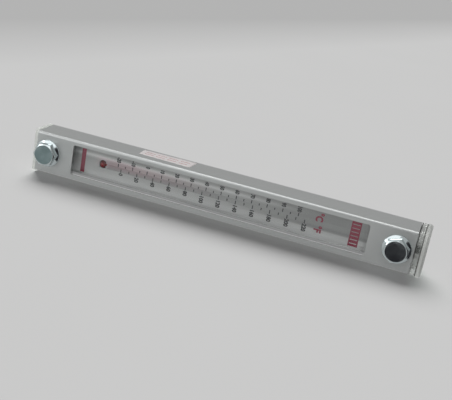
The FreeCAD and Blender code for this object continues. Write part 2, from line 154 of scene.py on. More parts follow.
class BoltSettings(bpy.types.PropertyGroup):
    """Form of the two hollow flanged bolts."""

    shank_diameter: length("Shank Diameter", "Plain shank that runs in the body", 10.0)
    across_flats: length("Across Flats", "Width of the hexagon", 15.0)
    head_height: length("Head Height", "From the flange's underside to the head's top", 6.0)
    flange_height: length("Flange Height", "Where the flange's cone meets the hexagon", 1.9)
    flange_rim: length("Flange Rim", "Height of the flange's outer edge", 0.8)
    head_chamfer: length("Head Chamfer", "How far the chamfer cuts into the flats", 0.35)
    waist_diameter: length("Waist Diameter", "Necked part inside the oil channel", 8.0)
    bore_diameter: length("Bore Diameter", "Oil bore along the bolt", 4.5)
    port_diameter: length("Port Diameter", "Cross port into the oil channel", 4.0)
    thread_pitch: length("Thread Pitch", "Rise of the thread in one turn", 1.5)
    thread_root: length("Thread Root Diameter", "Diameter at the thread's root", 8.4)
    relief_length: length("Relief Length", "Plain groove between shank and thread", 1.6)
    tip_chamfer: length("Tip Chamfer", "Chamfer at the thread's end", 1.2)
    lower_head_turn: angle("Lower Head Turn", "How far the lower bolt's head is turned", 4.0)
    upper_head_turn: angle("Upper Head Turn", "How far the upper bolt's head is turned", 17.0)


class ClearSettings(bpy.types.PropertyGroup):
    """Clear plastic and glass pieces, the red spirit, and the film that carries the scale."""

    acrylic: colour("Acrylic", "Tint of the sight body and end caps", (0.93, 0.95, 0.94))
    acrylic_ior: plain("Acrylic IOR", "Refractive index of the plastic", 1.49, min=1.0)
    glass: colour("Glass", "Tint of the thermometer's tube", (0.97, 0.98, 0.975))
    glass_ior: plain("Glass IOR", "Refractive index of the tube", 1.47, min=1.0)
    spirit: colour("Spirit", "Colour of the dyed spirit", (0.6, 0.01, 0.016))
    spirit_pale: colour("Spirit Pale", "The same where it is palest", (0.7, 0.014, 0.02))
    film: colour("Film", "Colour of the milky scale film", (0.555, 0.545, 0.553))
    # Painted red glow: how strongly the film's colour is tinted red before the spirit column.
    glow: bpy.props.FloatVectorProperty(
        name="Glow", description="How the red spirit tints the film before it",
        default=(1.22, 0.98, 1.03), size=3, min=0.0, subtype="NONE")
    film_haze: share("Film Haze", "How much of the light the milky film scatters", 0.85)
    column_haze: share("Column Haze", "The same in the thinner strip before the column", 0.55)
    window_haze: share("Window Haze", "The same in the round window before the bulb", 0.0)
    bulb_window: length("Bulb Window", "Radius of the clear window before the bulb", 2.7)
    sight_shift: length("Sight Shift", "How far that window lies to the side of the bulb", 0.95)
    strip_haze: share("Strip Haze", "How dull the bar's face is along the window's low edge", 0.75)
    strip_top: length("Strip Top", "How far up that dull strip reaches", -8.4)
    # The strip's white foot is a painted highlight along the window's lower edge.
    strip_foot: length("Strip Foot", "How far up the strip's white foot reaches", -10.2)
    strip_white: colour("Strip White", "Colour of that foot", (0.96, 0.96, 0.965))
    column_strip: length("Column Strip", "Half width of the strip before the column", 1.6)
    bore_radius: length("Bore Radius", "Radius of the tube's fine bore", 0.45)
    wetting: length("Wetting", "How far the spirit reaches into the glass", 0.12)
    frost: colour("Frost", "Colour of the frosted back of the body", (0.62, 0.62, 0.625))
    frost_share: share("Frost Share", "How dull the frosted back is", 0.7)
    cap_cloud: colour("Cap Cloud", "Colour of the lower cap's clouding", (0.78, 0.79, 0.77))
    # Painted shade and painted light: colours of the upper cap's clouding at its foot and at its
    # top.
    cloud_low: colour("Cloud Low", "The same at the upper cap's foot", (0.56, 0.57, 0.55))
    cloud_high: colour("Cloud High", "The same at the upper cap's top", (0.97, 0.98, 0.96))
    plate_cloud: share("Plate Cloud", "How near the plate's clouding is to the top's", 0.66)
    seam: colour("Seam", "Colour of the dark seams in the upper cap", (0.06, 0.06, 0.055))
    cap_haze: share("Cap Haze", "How cloudy the upper cap's plate is", 0.78)
    lower_cap_haze: share("Lower Cap Haze", "How cloudy the lower cap is", 0.85)
    collar_haze: share("Collar Haze", "How cloudy the collar round the neck is", 0.36)
    cradle_haze: share("Cradle Haze", "How cloudy the tube's two cradles are", 0.1)
    seat_gap: length("Seat Gap", "Air between a cap's inner face and the body's end", 0.05)
    collar_clearance: length("Collar Clearance", "Air between the collar and the neck", 0.1)
    collar_corner: length("Collar Corner", "Radius of the collar's corners", 2.0)
    cap_corner: length("Cap Corner", "Radius of the end caps' corners", 2.5)
    cap_edge: length("Cap Edge", "Radius of the end caps' outer edge", 1.7)
    inner_edge: length("Inner Edge", "Radius of the lower cap's inner edge", 0.15)
    cap_setback: length("Cap Setback", "From the housing's front to the caps' front", 0.2)
    boss_clearance: length("Boss Clearance", "Air round the caps' bosses", 0.1)
    boss_corner: length("Boss Corner", "Radius of the bosses' corners", 0.5)


class RubberSettings(bpy.types.PropertyGroup):
    """Rubber of the seals and the channel plugs."""

    rubber: colour("Rubber", "Colour of the clean rubber", (0.028, 0.03, 0.024))
    dusty: colour("Dusty", "The same where it is dusty", (0.06, 0.062, 0.05))


class ScaleSettings(bpy.types.PropertyGroup):
    """Printed scale: numbers, ticks and unit letters on the film."""

    zero_place: length("Zero Place", "Where 0 degrees Celsius lies along the gauge", -52.2)
    degree_length: length("Degree Length", "Length of one degree Celsius", 1.109)
    number_height: length("Number Height", "Height of the digits", 2.9)
    number_squeeze: share("Number Squeeze", "Width of the digits against a plain font", 0.72)
    celsius_centre: length("Celsius Centre", "Centre of the Celsius numbers across", 6.9)
    fahrenheit_start: length("Fahrenheit Start", "Where the Fahrenheit numbers start", -2.3)
    number_weight: length("Number Weight", "How much the digits' strokes are thickened", 0.22)
    fahrenheit_squeeze: share("Fahrenheit Squeeze", "The same for the Fahrenheit digits", 0.9)
    tick_width: length("Tick Width", "Width of a tick line", 0.7)
    celsius_foot: length("Celsius Foot", "Where the Celsius ticks start across", 1.8)
    celsius_tick: length("Celsius Tick", "Length of a numbered Celsius tick", 2.4)
    celsius_half_tick: length("Celsius Half Tick", "Length of the ticks between", 1.5)
    fahrenheit_foot: length("Fahrenheit Foot", "Where the Fahrenheit ticks start across", 0.6)
    fahrenheit_tick: length("Fahrenheit Tick", "Length of a numbered Fahrenheit tick", 2.6)
    fahrenheit_half_tick: length("Fahrenheit Half Tick", "Length of the ticks between", 1.7)
    letters_place: length("Letters Place", "Centre of the unit letters along the gauge", 72.9)
    letters_height: length("Letters Height", "Height of the unit letters", 5.0)
    letters_squeeze: share("Letters Squeeze", "Width of the unit letters", 0.85)
    letters_weight: length("Letters Weight", "How much their strokes are thickened", 0.28)
    celsius_letters: length("Celsius Letters", "Centre of the Celsius sign across", 5.0)
    fahrenheit_letters: length("Fahrenheit Letters", "Centre of the Fahrenheit sign", -3.4)
    low_mark: length("Low Mark", "Centre of the red low-level bar along the gauge", -101.5)
    low_mark_width: length("Low Mark Width", "Width of the red bar", 3.2)
    end_mark: length("End Mark", "Centre of the red hatched block along the gauge", 98.1)
    end_mark_width: length("End Mark Width", "Width of the red block", 6.6)
    mark_height: length("Mark Height", "Height of both red marks", 17.4)
    hatch_edge: length("Hatch Edge", "Width of the block's two long edges", 0.8)
    hatch_stripes: bpy.props.IntProperty(
        name="Hatch Stripes", description="Stripes between those edges", default=7, min=2)
    ink: colour("Ink", "Black printing ink", (0.02, 0.02, 0.024))
    red_ink: colour("Red Ink", "Red printing ink", (0.32, 0.010, 0.052))


class LabelSettings(bpy.types.PropertyGroup):
    """Bare paper label on the upper long side."""

    skew: length("Skew", "How far the label's ends lean", 1.6)
    paper: colour("Paper", "Colour of the paper", (0.97, 0.92, 0.915))
    rule: colour("Rules", "Colour of the faint ruled dashes", (0.62, 0.2, 0.2))
    rule_width: length("Rule Width", "Width of a dash", 0.5)
    rule_length: share("Rule Length", "Length of a dash against the label's", 0.17)


class StageSettings(bpy.types.PropertyGroup):
    """Camera, lamps and floor."""

    aim_along: length("Aim Along", "Point on the gauge that the camera looks at", 9.2)
    aim_across: length("Aim Across", "The same point's place across the gauge", 1.5)
    distance: length("Distance", "From the camera to the point it looks at", 586.2)
    azimuth: angle("Azimuth", "Camera's turn to the right of the front", 14.93)
    elevation: angle("Elevation", "Camera's height above the horizon", 18.54)
    roll: angle("Roll", "Camera's turn about its own line of sight", 10.5)
    lens: bpy.props.FloatProperty(
        name="Lens", description="Focal length of the camera", default=69.0,
        subtype="DISTANCE_CAMERA")
    floor: colour("Floor", "Colour of the table", (0.54, 0.54, 0.538))
    fill: share("Fill", "Part of the floor's tone that shadows leave", 0.12)
    mirror_fill: share("Mirror Fill", "The same as metal sees it", 0.8)
    glass_fill: share("Glass Fill", "The same as it shows through glass", 0.5)
    sky: plain("Sky", "Light from all around", 0.19, min=0.0)
    rear_lamp: plain("Rear Lamp", "Lamp that throws the shadow forward", 3.95, min=0.0)
    rear_softness: angle("Rear Softness", "Width of the rear lamp in the sky", 38.0)
    bounce: plain("Bounce", "Light that the bright table throws back up", 2.0, min=0.0)
    # The card glows: a painted highlight that the bolts mirror.
    card: plain("Card", "Brightness of the card that the bolts mirror", 1.5, min=0.0)
    top_lamp: plain("Top Lamp", "Soft lamp above the gauge", 3.75, min=0.0)
    side_lamp: plain("Side Lamp", "Soft lamp to the left of the camera", 2.95, min=0.0)


# ---------------------------------------------------------------- materials

class Shader:
    """A material's node tree, with short calls for the nodes that these finishes use."""

    def __init__(self, name):
        self.material = bpy.data.materials.new(name)
        self.material.use_nodes = True
        self.nodes = self.material.node_tree.nodes
        self.links = self.material.node_tree.links
        self.surface = self.nodes["Principled BSDF"]
        self.output = self.nodes["Material Output"]

    def add(self, kind, **inputs):
        """A node with its input sockets set or linked by name, spaces written as _."""
        node = self.nodes.new(kind)
        for key, value in inputs.items():
            self.feed(node, key.replace("_", " "), value)
        return node

    def feed(self, node, socket, value):
        if isinstance(value, bpy.types.NodeSocket):
            self.links.new(value, node.inputs[socket])
        else:
            node.inputs[socket].default_value = value

    def set(self, **inputs):
        for key, value in inputs.items():
            self.feed(self.surface, key.replace("_", " "), value)

    def place(self, stretch=(1.0, 1.0, 1.0)):
        """Object coordinates in metres, scaled by stretch."""
        coordinates = self.add("ShaderNodeTexCoord").outputs["Object"]
        return self.add("ShaderNodeMapping", Vector=coordinates, Scale=stretch).outputs[0]

    def noise(self, size, stretch=(1.0, 1.0, 1.0), detail=3.0, roughness=0.5):
        """Noise from 0 to 1 whose blotches are about size metres across."""
        node = self.add("ShaderNodeTexNoise", Vector=self.place(stretch), Scale=1.0 / size,
                        Detail=detail, Roughness=roughness)
        return node.outputs["Fac"]

    def spread(self, value, low, high, from_low=0.3, from_high=0.7):
        """Map a value from one range to another."""
        node = self.add("ShaderNodeMapRange", Value=value, From_Min=from_low,
                        From_Max=from_high, To_Min=low, To_Max=high)
        return node.outputs["Result"]

    def rise(self, value, start, stop):
        """0 up to start, 1 from stop on, and a straight slope between."""
        return self.spread(value, 0.0, 1.0, start, stop)

    def fall(self, value, start, stop):
        """1 up to start, 0 from stop on, and a straight slope between."""
        return self.spread(value, 1.0, 0.0, start, stop)

    def part(self, axis):
        """One object coordinate in metres."""
        return self.add("ShaderNodeSeparateXYZ", Vector=self.place()).outputs[axis]

    def work(self, operation, *values):
        """A number worked out from one or more others."""
        node = self.nodes.new("ShaderNodeMath")
        node.operation = operation
        for index, value in enumerate(values):
            self.feed(node, index, value)
        return node.outputs[0]

    def times(self, first, *others):
        """Numbers multiplied."""
        for other in others:
            first = self.work("MULTIPLY", first, other)
        return first

    def away(self, value, place):
        """How far a number is from a place."""
        return self.work("ABSOLUTE", self.work("SUBTRACT", value, place))

    def steps(self, value, stops):
        """A number up to 2 that follows straight lines between (value, number) stops."""
        low, high = stops[0][0], stops[-1][0]
        ramp = self.add("ShaderNodeValToRGB", Fac=self.spread(value, 0.0, 1.0, low, high))
        points = ramp.color_ramp.elements
        while len(points) < len(stops):
            points.new(0.5)
        for point, (place, number) in zip(points, stops):
            point.position = (place - low) / (high - low)
            point.color = (number / 2, number / 2, number / 2, 1.0)
        return self.work("MULTIPLY", ramp.outputs["Color"], 2.0)

    def tint(self, factor, first, second):
        """A colour between two, by a factor."""
        node = self.nodes.new("ShaderNodeMix")
        node.data_type = "RGBA"
        self.links.new(factor, node.inputs["Factor"])
        node.inputs["A"].default_value = (*first, 1.0)
        node.inputs["B"].default_value = (*second, 1.0)
        return node.outputs["Result"]

    def mottle(self, factor, colour, darkest, lightest):
        """A colour that wanders between a darker and a lighter shade of itself."""
        return self.tint(factor, shade(colour, darkest), shade(colour, lightest))

    def veil(self, colour, factor):
        """A colour multiplied by a number or by another colour."""
        node = self.nodes.new("ShaderNodeVectorMath")
        node.operation = "MULTIPLY"
        self.links.new(colour, node.inputs[0])
        self.links.new(factor, node.inputs[1])
        return node.outputs[0]

    def matt(self, colour):
        """What a matt surface of a colour shows."""
        return self.add("ShaderNodeBsdfDiffuse", Color=colour).outputs[0]

    def bump(self, height, distance, strength):
        node = self.add("ShaderNodeBump", Height=height, Distance=distance, Strength=strength)
        return node.outputs["Normal"]

    def blend_surface(self, factor, other):
        """Mix another shader into what the surface shows, by a factor."""
        current = self.output.inputs["Surface"].links[0].from_socket
        mix = self.add("ShaderNodeMixShader")
        for index, value in enumerate((factor, current, other)):
            self.links.new(value, mix.inputs[index])
        self.links.new(mix.outputs[0], self.output.inputs["Surface"])
        return self

    def let_lamps_through(self, tint):
        """Rays from lamps pass straight through the surface, so what is behind it is lit."""
        path = self.add("ShaderNodeLightPath")
        clear = self.add("ShaderNodeBsdfTransparent", Color=(*tint, 1.0))
        return self.blend_surface(path.outputs["Is Shadow Ray"], clear.outputs[0])


def shade(base, factor):
    """A colour made lighter or darker."""
    return tuple(min(1.0, part * factor) for part in base)


def satin_aluminium(settings):
    """Anodised extrusion: fine die lines along X and faint clouding."""
    shader = Shader("satin_aluminium")
    lines = shader.noise(settings.die_line_width, stretch=(0.01, 1.0, 1.0), detail=4.0,
                         roughness=0.6)
    clouds = shader.noise(30 * MM, stretch=(0.4, 1.0, 1.0))
    rough = settings.aluminium_roughness
    shader.set(
        Base_Color=shader.mottle(clouds, settings.aluminium, 0.93, 1.06),
        Metallic=settings.aluminium_metallic,
        Roughness=shader.spread(lines, rough - 0.05, rough + 0.06),
        Normal=shader.bump(lines, 0.012 * MM, 0.6),
    )
    return shader.material


def bright_zinc(settings):
    """Zinc plating on turned steel: cool, glossy, with a slight orange peel."""
    shader = Shader("bright_zinc")
    stains = shader.noise(6 * MM, detail=4.0)
    peel = shader.noise(1.2 * MM)
    rough = settings.zinc_roughness
    shader.set(
        Base_Color=shader.mottle(stains, settings.zinc, 0.86, 1.1),
        Metallic=1.0,
        Roughness=shader.spread(stains, rough - 0.04, rough + 0.08),
        Normal=shader.bump(peel, 0.05 * MM, 0.5),
    )
    return shader.material


def clear_plastic(name, settings, roughness, streak):
    """Shader of clear plastic with faint flow marks."""
    shader = Shader(name)
    flow = shader.noise(4 * MM, stretch=(streak, 1.0, 1.0))
    shader.set(
        Base_Color=(*settings.acrylic, 1.0),
        Roughness=shader.spread(flow, roughness * 0.6, roughness * 1.4),
        IOR=settings.acrylic_ior,
        Transmission_Weight=1.0,
        Normal=shader.bump(flow, 0.04 * MM, 0.35),
    )
    return shader


def frosted_back_acrylic(settings):
    """Clear extruded bar whose back, channel floor and lower strip of the face are dull; the
    strip's foot is lighter, a painted highlight along the window's lower edge.
    """
    shader = clear_plastic("clear_acrylic", settings, 0.02, 0.05)
    depth, across = shader.part("Y"), shader.part("Z")
    channel_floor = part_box("lower_channel_plug")[1].y
    behind = shader.spread(depth, 0.0, settings.frost_share,
                           channel_floor - 0.3 * MM, channel_floor - 0.1 * MM)
    grain = shader.noise(0.6 * MM)
    frost = shader.mottle(grain, settings.frost, 0.94, 1.06)
    shader.blend_surface(behind, shader.matt(frost))
    soft = 0.8 * MM
    in_face = shader.spread(depth, settings.strip_haze, 0.0,
                            BODY_LOW.y + 0.2 * MM, BODY_LOW.y + 0.4 * MM)
    in_strip = shader.fall(across, settings.strip_top - soft, settings.strip_top)
    # Painted highlight: the strip turns white and more matt at its foot, along the window's lower
    # edge.
    in_painted_highlight = shader.fall(across, settings.strip_foot - soft, settings.strip_foot)
    highlight_boost = shader.spread(in_painted_highlight, 1.0, 1.3, 0.0, 1.0)
    strip = shader.tint(in_painted_highlight, settings.frost, settings.strip_white)
    shader.blend_surface(shader.times(in_face, in_strip, highlight_boost), shader.matt(strip))
    return shader.let_lamps_through(settings.acrylic).material


def cloud_over(shader, amount, white):
    """Make a clear plastic scatter part of the light, half of it back and half through."""
    let_through = (0.9, 0.91, 0.89, 1.0)
    scatter = shader.add("ShaderNodeBsdfTranslucent", Color=let_through)
    both = shader.add("ShaderNodeMixShader")
    shader.links.new(scatter.outputs[0], both.inputs[1])
    shader.links.new(shader.matt(white), both.inputs[2])
    shader.blend_surface(amount, both.outputs[0])


def hazy_plastic(name, settings, haze):
    """Moulded plastic, evenly cloudy."""
    shader = clear_plastic(name, settings, 0.22, 1.0)
    cloud = shader.noise(3 * MM)
    cloud_over(shader, shader.spread(cloud, haze - 0.06, haze + 0.06),
               (*settings.cap_cloud, 1.0))
    return shader.let_lamps_through(settings.acrylic).material


def collared_plastic(name, settings):
    """The upper cap's plastic: a cloudy plate and a clearer collar, each with a dark seam.

    The collar is clearest before the rubber plug, and the clouding has painted light and shade:
    lighter toward the top and on the plate, darker toward the foot.
    """
    shader = clear_plastic(name, settings, 0.22, 1.0)
    along, across = shader.part("X"), shader.part("Z")
    edge = 0.1 * MM
    on_plate = shader.rise(along, BODY_HIGH.x - edge, BODY_HIGH.x + edge)
    on_collar = shader.work("SUBTRACT", 1.0, on_plate)
    before_plug = shader.times(shader.rise(across, 0.2 * MM, 1.2 * MM),
                               shader.fall(across, 5.2 * MM, 6.6 * MM), on_collar)
    haze = shader.spread(on_plate, settings.collar_haze, settings.cap_haze, 0.0, 1.0)
    uneven = shader.spread(shader.noise(3 * MM), -0.06, 0.06)
    amount = shader.times(shader.work("ADD", haze, uneven),
                          shader.spread(before_plug, 1.0, 0.08, 0.0, 1.0))
    # Painted light and shade: the clouding is lighter toward the top and on the plate, darker at
    # the foot.
    toward_painted_light = shader.work("MAXIMUM", shader.rise(across, -11 * MM, 11 * MM),
                         shader.times(on_plate, settings.plate_cloud))
    cloud_over(shader, amount, shader.tint(toward_painted_light, settings.cloud_low, settings.cloud_high))
    # Each seam's place along the gauge, and how dark it is at its foot and at its top.
    seam = 0.0
    for place, low_part, high_part in ((BODY_HIGH.x, 1.0, 0.78),
                                       (HOUSING_HIGH.x + 0.5 * MM, 0.25, 1.0)):
        near = shader.spread(shader.away(along, place), 0.9, 0.0, 0.15 * MM, 0.5 * MM)
        dark = shader.spread(across, low_part, high_part, -5 * MM, 1 * MM)
        seam = shader.work("MAXIMUM", shader.times(near, dark), seam)
    shader.blend_surface(seam, shader.matt((*settings.seam, 1.0)))
    return shader.let_lamps_through(settings.acrylic).material


def clear_glass(settings):
    """Thermometer glass, smooth but for faint draw lines."""
    shader = Shader("thermometer_glass")
    lines = shader.noise(2 * MM, stretch=(0.02, 1.0, 1.0))
    shader.set(
        Base_Color=(*settings.glass, 1.0),
        Roughness=shader.spread(lines, 0.0, 0.03),
        IOR=settings.glass_ior,
        Transmission_Weight=1.0,
        Normal=shader.bump(lines, 0.01 * MM, 0.3),
    )
    return shader.let_lamps_through(settings.glass).material


def film_tone(shader, along, across):
    """Painted light and shade on the film: bands of painted shade and painted highlight that
    follow the channel's edges, more so toward the upper end.
    """
    across_mm = shader.work("DIVIDE", across, MM)
    lower, upper = shader.steps(across_mm, LOWER_PAINTED_SHADING), shader.steps(across_mm, UPPER_PAINTED_SHADING)
    toward_top = shader.rise(along, 8 * MM, 66 * MM)
    change = shader.times(toward_top, shader.work("SUBTRACT", upper, lower))
    return shader.work("ADD", lower, change)


def spirit_glow(shader, along, across, glow):
    """Painted red glow on the film's colour, where the red spirit's light would shine through it,
    past the bulb.
    """
    centre = 2.4 * MM
    near_column = shader.fall(shader.away(across, centre), 1.4 * MM, 4.4 * MM)
    past_bulb = shader.rise(along, -94 * MM, -84 * MM)
    below_middle = shader.fall(along, -60 * MM, 2 * MM)
    return shader.tint(shader.times(near_column, past_bulb, below_middle),
                       (1.0, 1.0, 1.0), glow)


def film_clearness(shader, settings, along, across, cloud):
    """How much passes through the film, most before the bulb and some before the column."""
    soft = 0.4 * MM
    spirit_low, spirit_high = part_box("thermometer_liquid")
    tube_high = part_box("thermometer_tube")[1].x
    strip = shader.fall(shader.work("ABSOLUTE", across), settings.column_strip,
                        settings.column_strip + soft)
    for limit in (shader.rise(along, spirit_low.x, spirit_low.x + soft),
                  shader.fall(along, tube_high - 70 * MM, tube_high - 20 * MM)):
        strip = shader.work("MINIMUM", strip, limit)
    bulb_place = spirit_low.x + spirit_high.z + settings.sight_shift
    squares = [shader.work("POWER", shader.away(value, place), 2.0)
               for value, place in ((along, bulb_place), (across, settings.sight_shift))]
    from_bulb = shader.work("SQRT", shader.work("ADD", *squares))
    window = shader.fall(from_bulb, settings.bulb_window, settings.bulb_window + soft)
    milky = shader.spread(cloud, settings.film_haze - 0.02, settings.film_haze + 0.02)
    thinner = shader.times(strip, settings.film_haze - settings.column_haze)
    haze = shader.work("SUBTRACT", milky, thinner)
    cut = shader.times(window, shader.work("SUBTRACT", haze, settings.window_haze))
    return shader.work("SUBTRACT", 1.0, shader.work("SUBTRACT", haze, cut))


def milky_film(settings):
    """Polyester film, milky but for a strip before the column and a window before the bulb. Its
    colour carries painted light and shade in bands, and a painted red glow.
    """
    shader = Shader("milky_film")
    cloud = shader.noise(20 * MM, stretch=(0.3, 1.0, 1.0))
    grain = shader.noise(0.6 * MM, detail=2.0)
    along, across = shader.part("X"), shader.part("Z")
    film = shader.mottle(cloud, settings.film, 0.95, 1.04)
    # The film's colour darkened and lightened by the painted shading bands.
    with_painted_shading = shader.veil(film, film_tone(shader, along, across))
    shader.set(
        # The film's colour tinted by the painted red glow.
        Base_Color=shader.veil(with_painted_shading, spirit_glow(shader, along, across, settings.glow)),
        Roughness=shader.spread(grain, 0.35, 0.5),
        Normal=shader.bump(grain, 0.01 * MM, 0.3),
    )
    clear = shader.add("ShaderNodeBsdfTransparent", Color=(0.97, 0.97, 0.97, 1.0))
    shader.blend_surface(film_clearness(shader, settings, along, across, cloud),
                         clear.outputs[0])
    return shader.material


def red_spirit(settings):
    """Dyed spirit in the bulb and bore."""
    shader = Shader("red_spirit")
    depth = shader.noise(3 * MM)
    shader.set(
        Base_Color=shader.tint(depth, settings.spirit, settings.spirit_pale),
        Roughness=shader.spread(depth, 0.2, 0.3),
        Specular_IOR_Level=0.1,
    )
    return shader.material


def black_rubber(settings):
    """Nitrile rubber with a dusty, slightly green surface."""
    shader = Shader("black_rubber")
    dust = shader.noise(1.5 * MM, detail=4.0)
    shader.set(
        Base_Color=shader.tint(dust, settings.rubber, settings.dusty),
        Roughness=shader.spread(dust, 0.6, 0.8),
        Normal=shader.bump(dust, 0.03 * MM, 0.5),
    )
    return shader.material


def printed_ink(name, ink):
    """Screen-printed ink, a little uneven."""
    shader = Shader(name)
    wear = shader.noise(0.8 * MM)
    shader.set(
        Base_Color=shader.mottle(wear, ink, 0.85, 1.3),
        Roughness=shader.spread(wear, 0.4, 0.55),
    )
    return shader.material


def label_paper(name, paper):
    """Matt paper with fine fibres."""
    shader = Shader(name)
    fibres = shader.noise(0.5 * MM, stretch=(0.4, 1.0, 1.0), detail=5.0)
    clouds = shader.noise(8 * MM)
    shader.set(
        Base_Color=shader.mottle(clouds, paper, 0.96, 1.03),
        Roughness=shader.spread(fibres, 0.75, 0.9),
        Normal=shader.bump(fibres, 0.02 * MM, 0.5),
    )
    return shader.material


def matt_floor(settings):
    """Pale matt table with painted shade: a little darker far behind the gauge and to its left."""
    shader = Shader("matt_floor")
    clouds = shader.noise(250 * MM, detail=2.0)
    behind, to_left, near, far, darkest = 0.30, -0.954, 0.40, 0.64, 0.77
    far_off = shader.work("ADD", shader.times(shader.part("Y"), behind),
                          shader.times(shader.part("X"), to_left))
    near_tint = shader.mottle(clouds, settings.floor, 0.985, 1.015)
    # Painted shade: the floor's colour darkens far behind the gauge and to its left.
    darker = shader.tint(shader.rise(far_off, near, far), settings.floor,
                         shade(settings.floor, darkest))
    shader.links.new(near_tint, darker.node.inputs["A"])
    shader.set(
        Base_Color=darker,
        Roughness=shader.spread(clouds, 0.9, 1.0),
        Specular_IOR_Level=0.0,
    )
    path = shader.add("ShaderNodeLightPath")
    fill = 0.0
    for ray, part in (("Is Camera Ray", settings.fill), ("Is Glossy Ray", settings.mirror_fill),
                      ("Is Transmission Ray", settings.glass_fill)):
        fill = shader.work("MAXIMUM", shader.times(path.outputs[ray], part), fill)
    plain_tone = shader.add("ShaderNodeEmission", Color=darker)
    shader.blend_surface(fill, plain_tone.outputs[0])
    return shader.material


def flag_cloth(tone, strength):
    """Glowing sheet of an even tone whatever the light: a painted reflection, dark or bright, for
    the metal to mirror.
    """
    shader = Shader("flag_cloth")
    uneven_glow = shader.noise(2 * MM)
    shader.set(
        Base_Color=(0.0, 0.0, 0.0, 1.0),
        Emission_Color=shader.mottle(uneven_glow, tone, 0.9, 1.1),
        Emission_Strength=strength,
        Specular_IOR_Level=0.0,
    )
    shader.material.cycles.emission_sampling = "NONE"
    return shader.material


# ---------------------------------------------------------------- mesh helpers

def new_object(name, mesh, material):
    made = bpy.data.objects.new(name, mesh)
    bpy.context.scene.collection.objects.link(made)
    made.data.materials.clear()
    made.data.materials.append(material)
    return made


def finish_mesh(bm, name, material, sharp_degrees=30.0):
    """Turn a bmesh into an object with smooth faces and sharp edges."""
    bmesh.ops.remove_doubles(bm, verts=bm.verts, dist=1e-7)
    bmesh.ops.recalc_face_normals(bm, faces=bm.faces)
    mesh = bpy.data.meshes.new(name)
    bm.to_mesh(mesh)
    bm.free()
    mesh.shade_smooth()
    mesh.set_sharp_from_angle(angle=math.radians(sharp_degrees))
    return new_object(name, mesh, material)


def skin_rings(bm, rings):
    """Closed solid over rings of points, each ring with as many points as the next."""
    made = [[bm.verts.new(point) for point in ring] for ring in rings]
    for first, second in zip(made, made[1:]):
        count = len(first)
        for index in range(count):
            following = (index + 1) % count
            bm.faces.new((first[index], first[following], second[following], second[index]))
    bm.faces.new(made[0])
    bm.faces.new(made[-1])


def turned_ring(radius, height, count):
    """A ring about the Y axis; radius and height may each depend on the angle."""
    ring = []
    for step in range(count):
        around = math.tau * step / count
        far = radius(around) if callable(radius) else radius
        high = height(around) if callable(height) else height
        ring.append(Vector((far * math.cos(around), high, far * math.sin(around))))
    return ring


def add_slab(bm, low, high):
    """A box from its lowest to its highest corner."""
    middle = (Vector(low) + Vector(high)) / 2
    size = Vector(high) - Vector(low)
    place = Matrix.Translation(middle) @ Matrix.Diagonal((*size, 1.0))
    bmesh.ops.create_cube(bm, size=1.0, matrix=place)


def combine(target, tool, operation):
    """Subtract the tool object from the target, or join it on, and remove the tool."""
    modifier = target.modifiers.new("combine", "BOOLEAN")
    modifier.operation = operation
    modifier.solver = "EXACT"
    modifier.object = tool
    graph = bpy.context.evaluated_depsgraph_get()
    mesh = bpy.data.meshes.new_from_object(target.evaluated_get(graph))
    target.modifiers.clear()
    target.data = mesh
    bpy.data.objects.remove(tool)
    mesh.shade_smooth()
    mesh.set_sharp_from_angle(angle=math.radians(30.0))


def dress(node, material):
    """Give a CAD node its finish."""
    piece = frame["nodes"][node]
    piece.data.materials.clear()
    piece.data.materials.append(material)


# ---------------------------------------------------------------- pieces

class GAUGE_OT_housing(bpy.types.Operator):
    """Finish the extruded aluminium housing"""

    bl_idname = "gauge.housing"
    bl_label = "Housing"

    def execute(self, context):
        dress("housing", satin_aluminium(context.scene.gauge_metal))
        return {"FINISHED"}


class GAUGE_OT_sight_body(bpy.types.Operator):
    """Finish the clear bar with the oil channel in it"""

    bl_idname = "gauge.sight_body"
    bl_label = "Sight Body"

    def execute(self, context):
        dress("sight_body", frosted_back_acrylic(context.scene.gauge_clear))
        return {"FINISHED"}


def quarter_arc(centre_y, centre_z, radius, start, steps):
    """Points of a quarter turn in Y and Z, from a start in degrees."""
    turns = [math.radians(start + 90.0 * step / steps) for step in range(steps + 1)]
    return [(centre_y + radius * math.cos(turn), centre_z + radius * math.sin(turn))
            for turn in turns]


def rounded_outline(low, high, radius, inset, steps):
    """Corner-rounded rectangle in Y and Z, drawn in by inset."""
    radius = max(radius - inset, 0.1 * MM)
    corners = (
        (high.y, high.z, 1, 1, 0.0),
        (low.y, high.z, -1, 1, 90.0),
        (low.y, low.z, -1, -1, 180.0),
        (high.y, low.z, 1, -1, 270.0),
    )
    points = []
    for edge_y, edge_z, side_y, side_z, start in corners:
        points += quarter_arc(edge_y - (inset + radius) * side_y,
                              edge_z - (inset + radius) * side_z, radius, start, steps)
    return points


def add_rounded_block(bm, low, high, radius, sections, steps=8):
    """Closed block along X through sections of place and inset."""
    skin_rings(bm, [[Vector((place, y, z))
                     for y, z in rounded_outline(low, high, radius, inset, steps)]
                    for place, inset in sections])


def add_collar(bm, low_x, high_x, settings):
    """Ring on three sides of the sight body's neck, flush with the housing's sides."""
    air = settings.collar_clearance
    front, half = HOUSING_LOW.y + settings.cap_setback, HOUSING_HIGH.z
    neck_front, neck_half = BODY_LOW.y - air, BODY_HIGH.z + air
    radius, steps = settings.collar_corner, 8
    outline = [(BODY_HIGH.y, half)]
    for side, start in ((1, 90.0), (-1, 180.0)):
        outline += quarter_arc(front + radius, (half - radius) * side, radius, start, steps)
    outline += [(BODY_HIGH.y, -half), (BODY_HIGH.y, -neck_half), (neck_front, -neck_half),
                (neck_front, neck_half), (BODY_HIGH.y, neck_half)]
    skin_rings(bm, [[Vector((x, y, z)) for y, z in outline] for x in (low_x, high_x)])


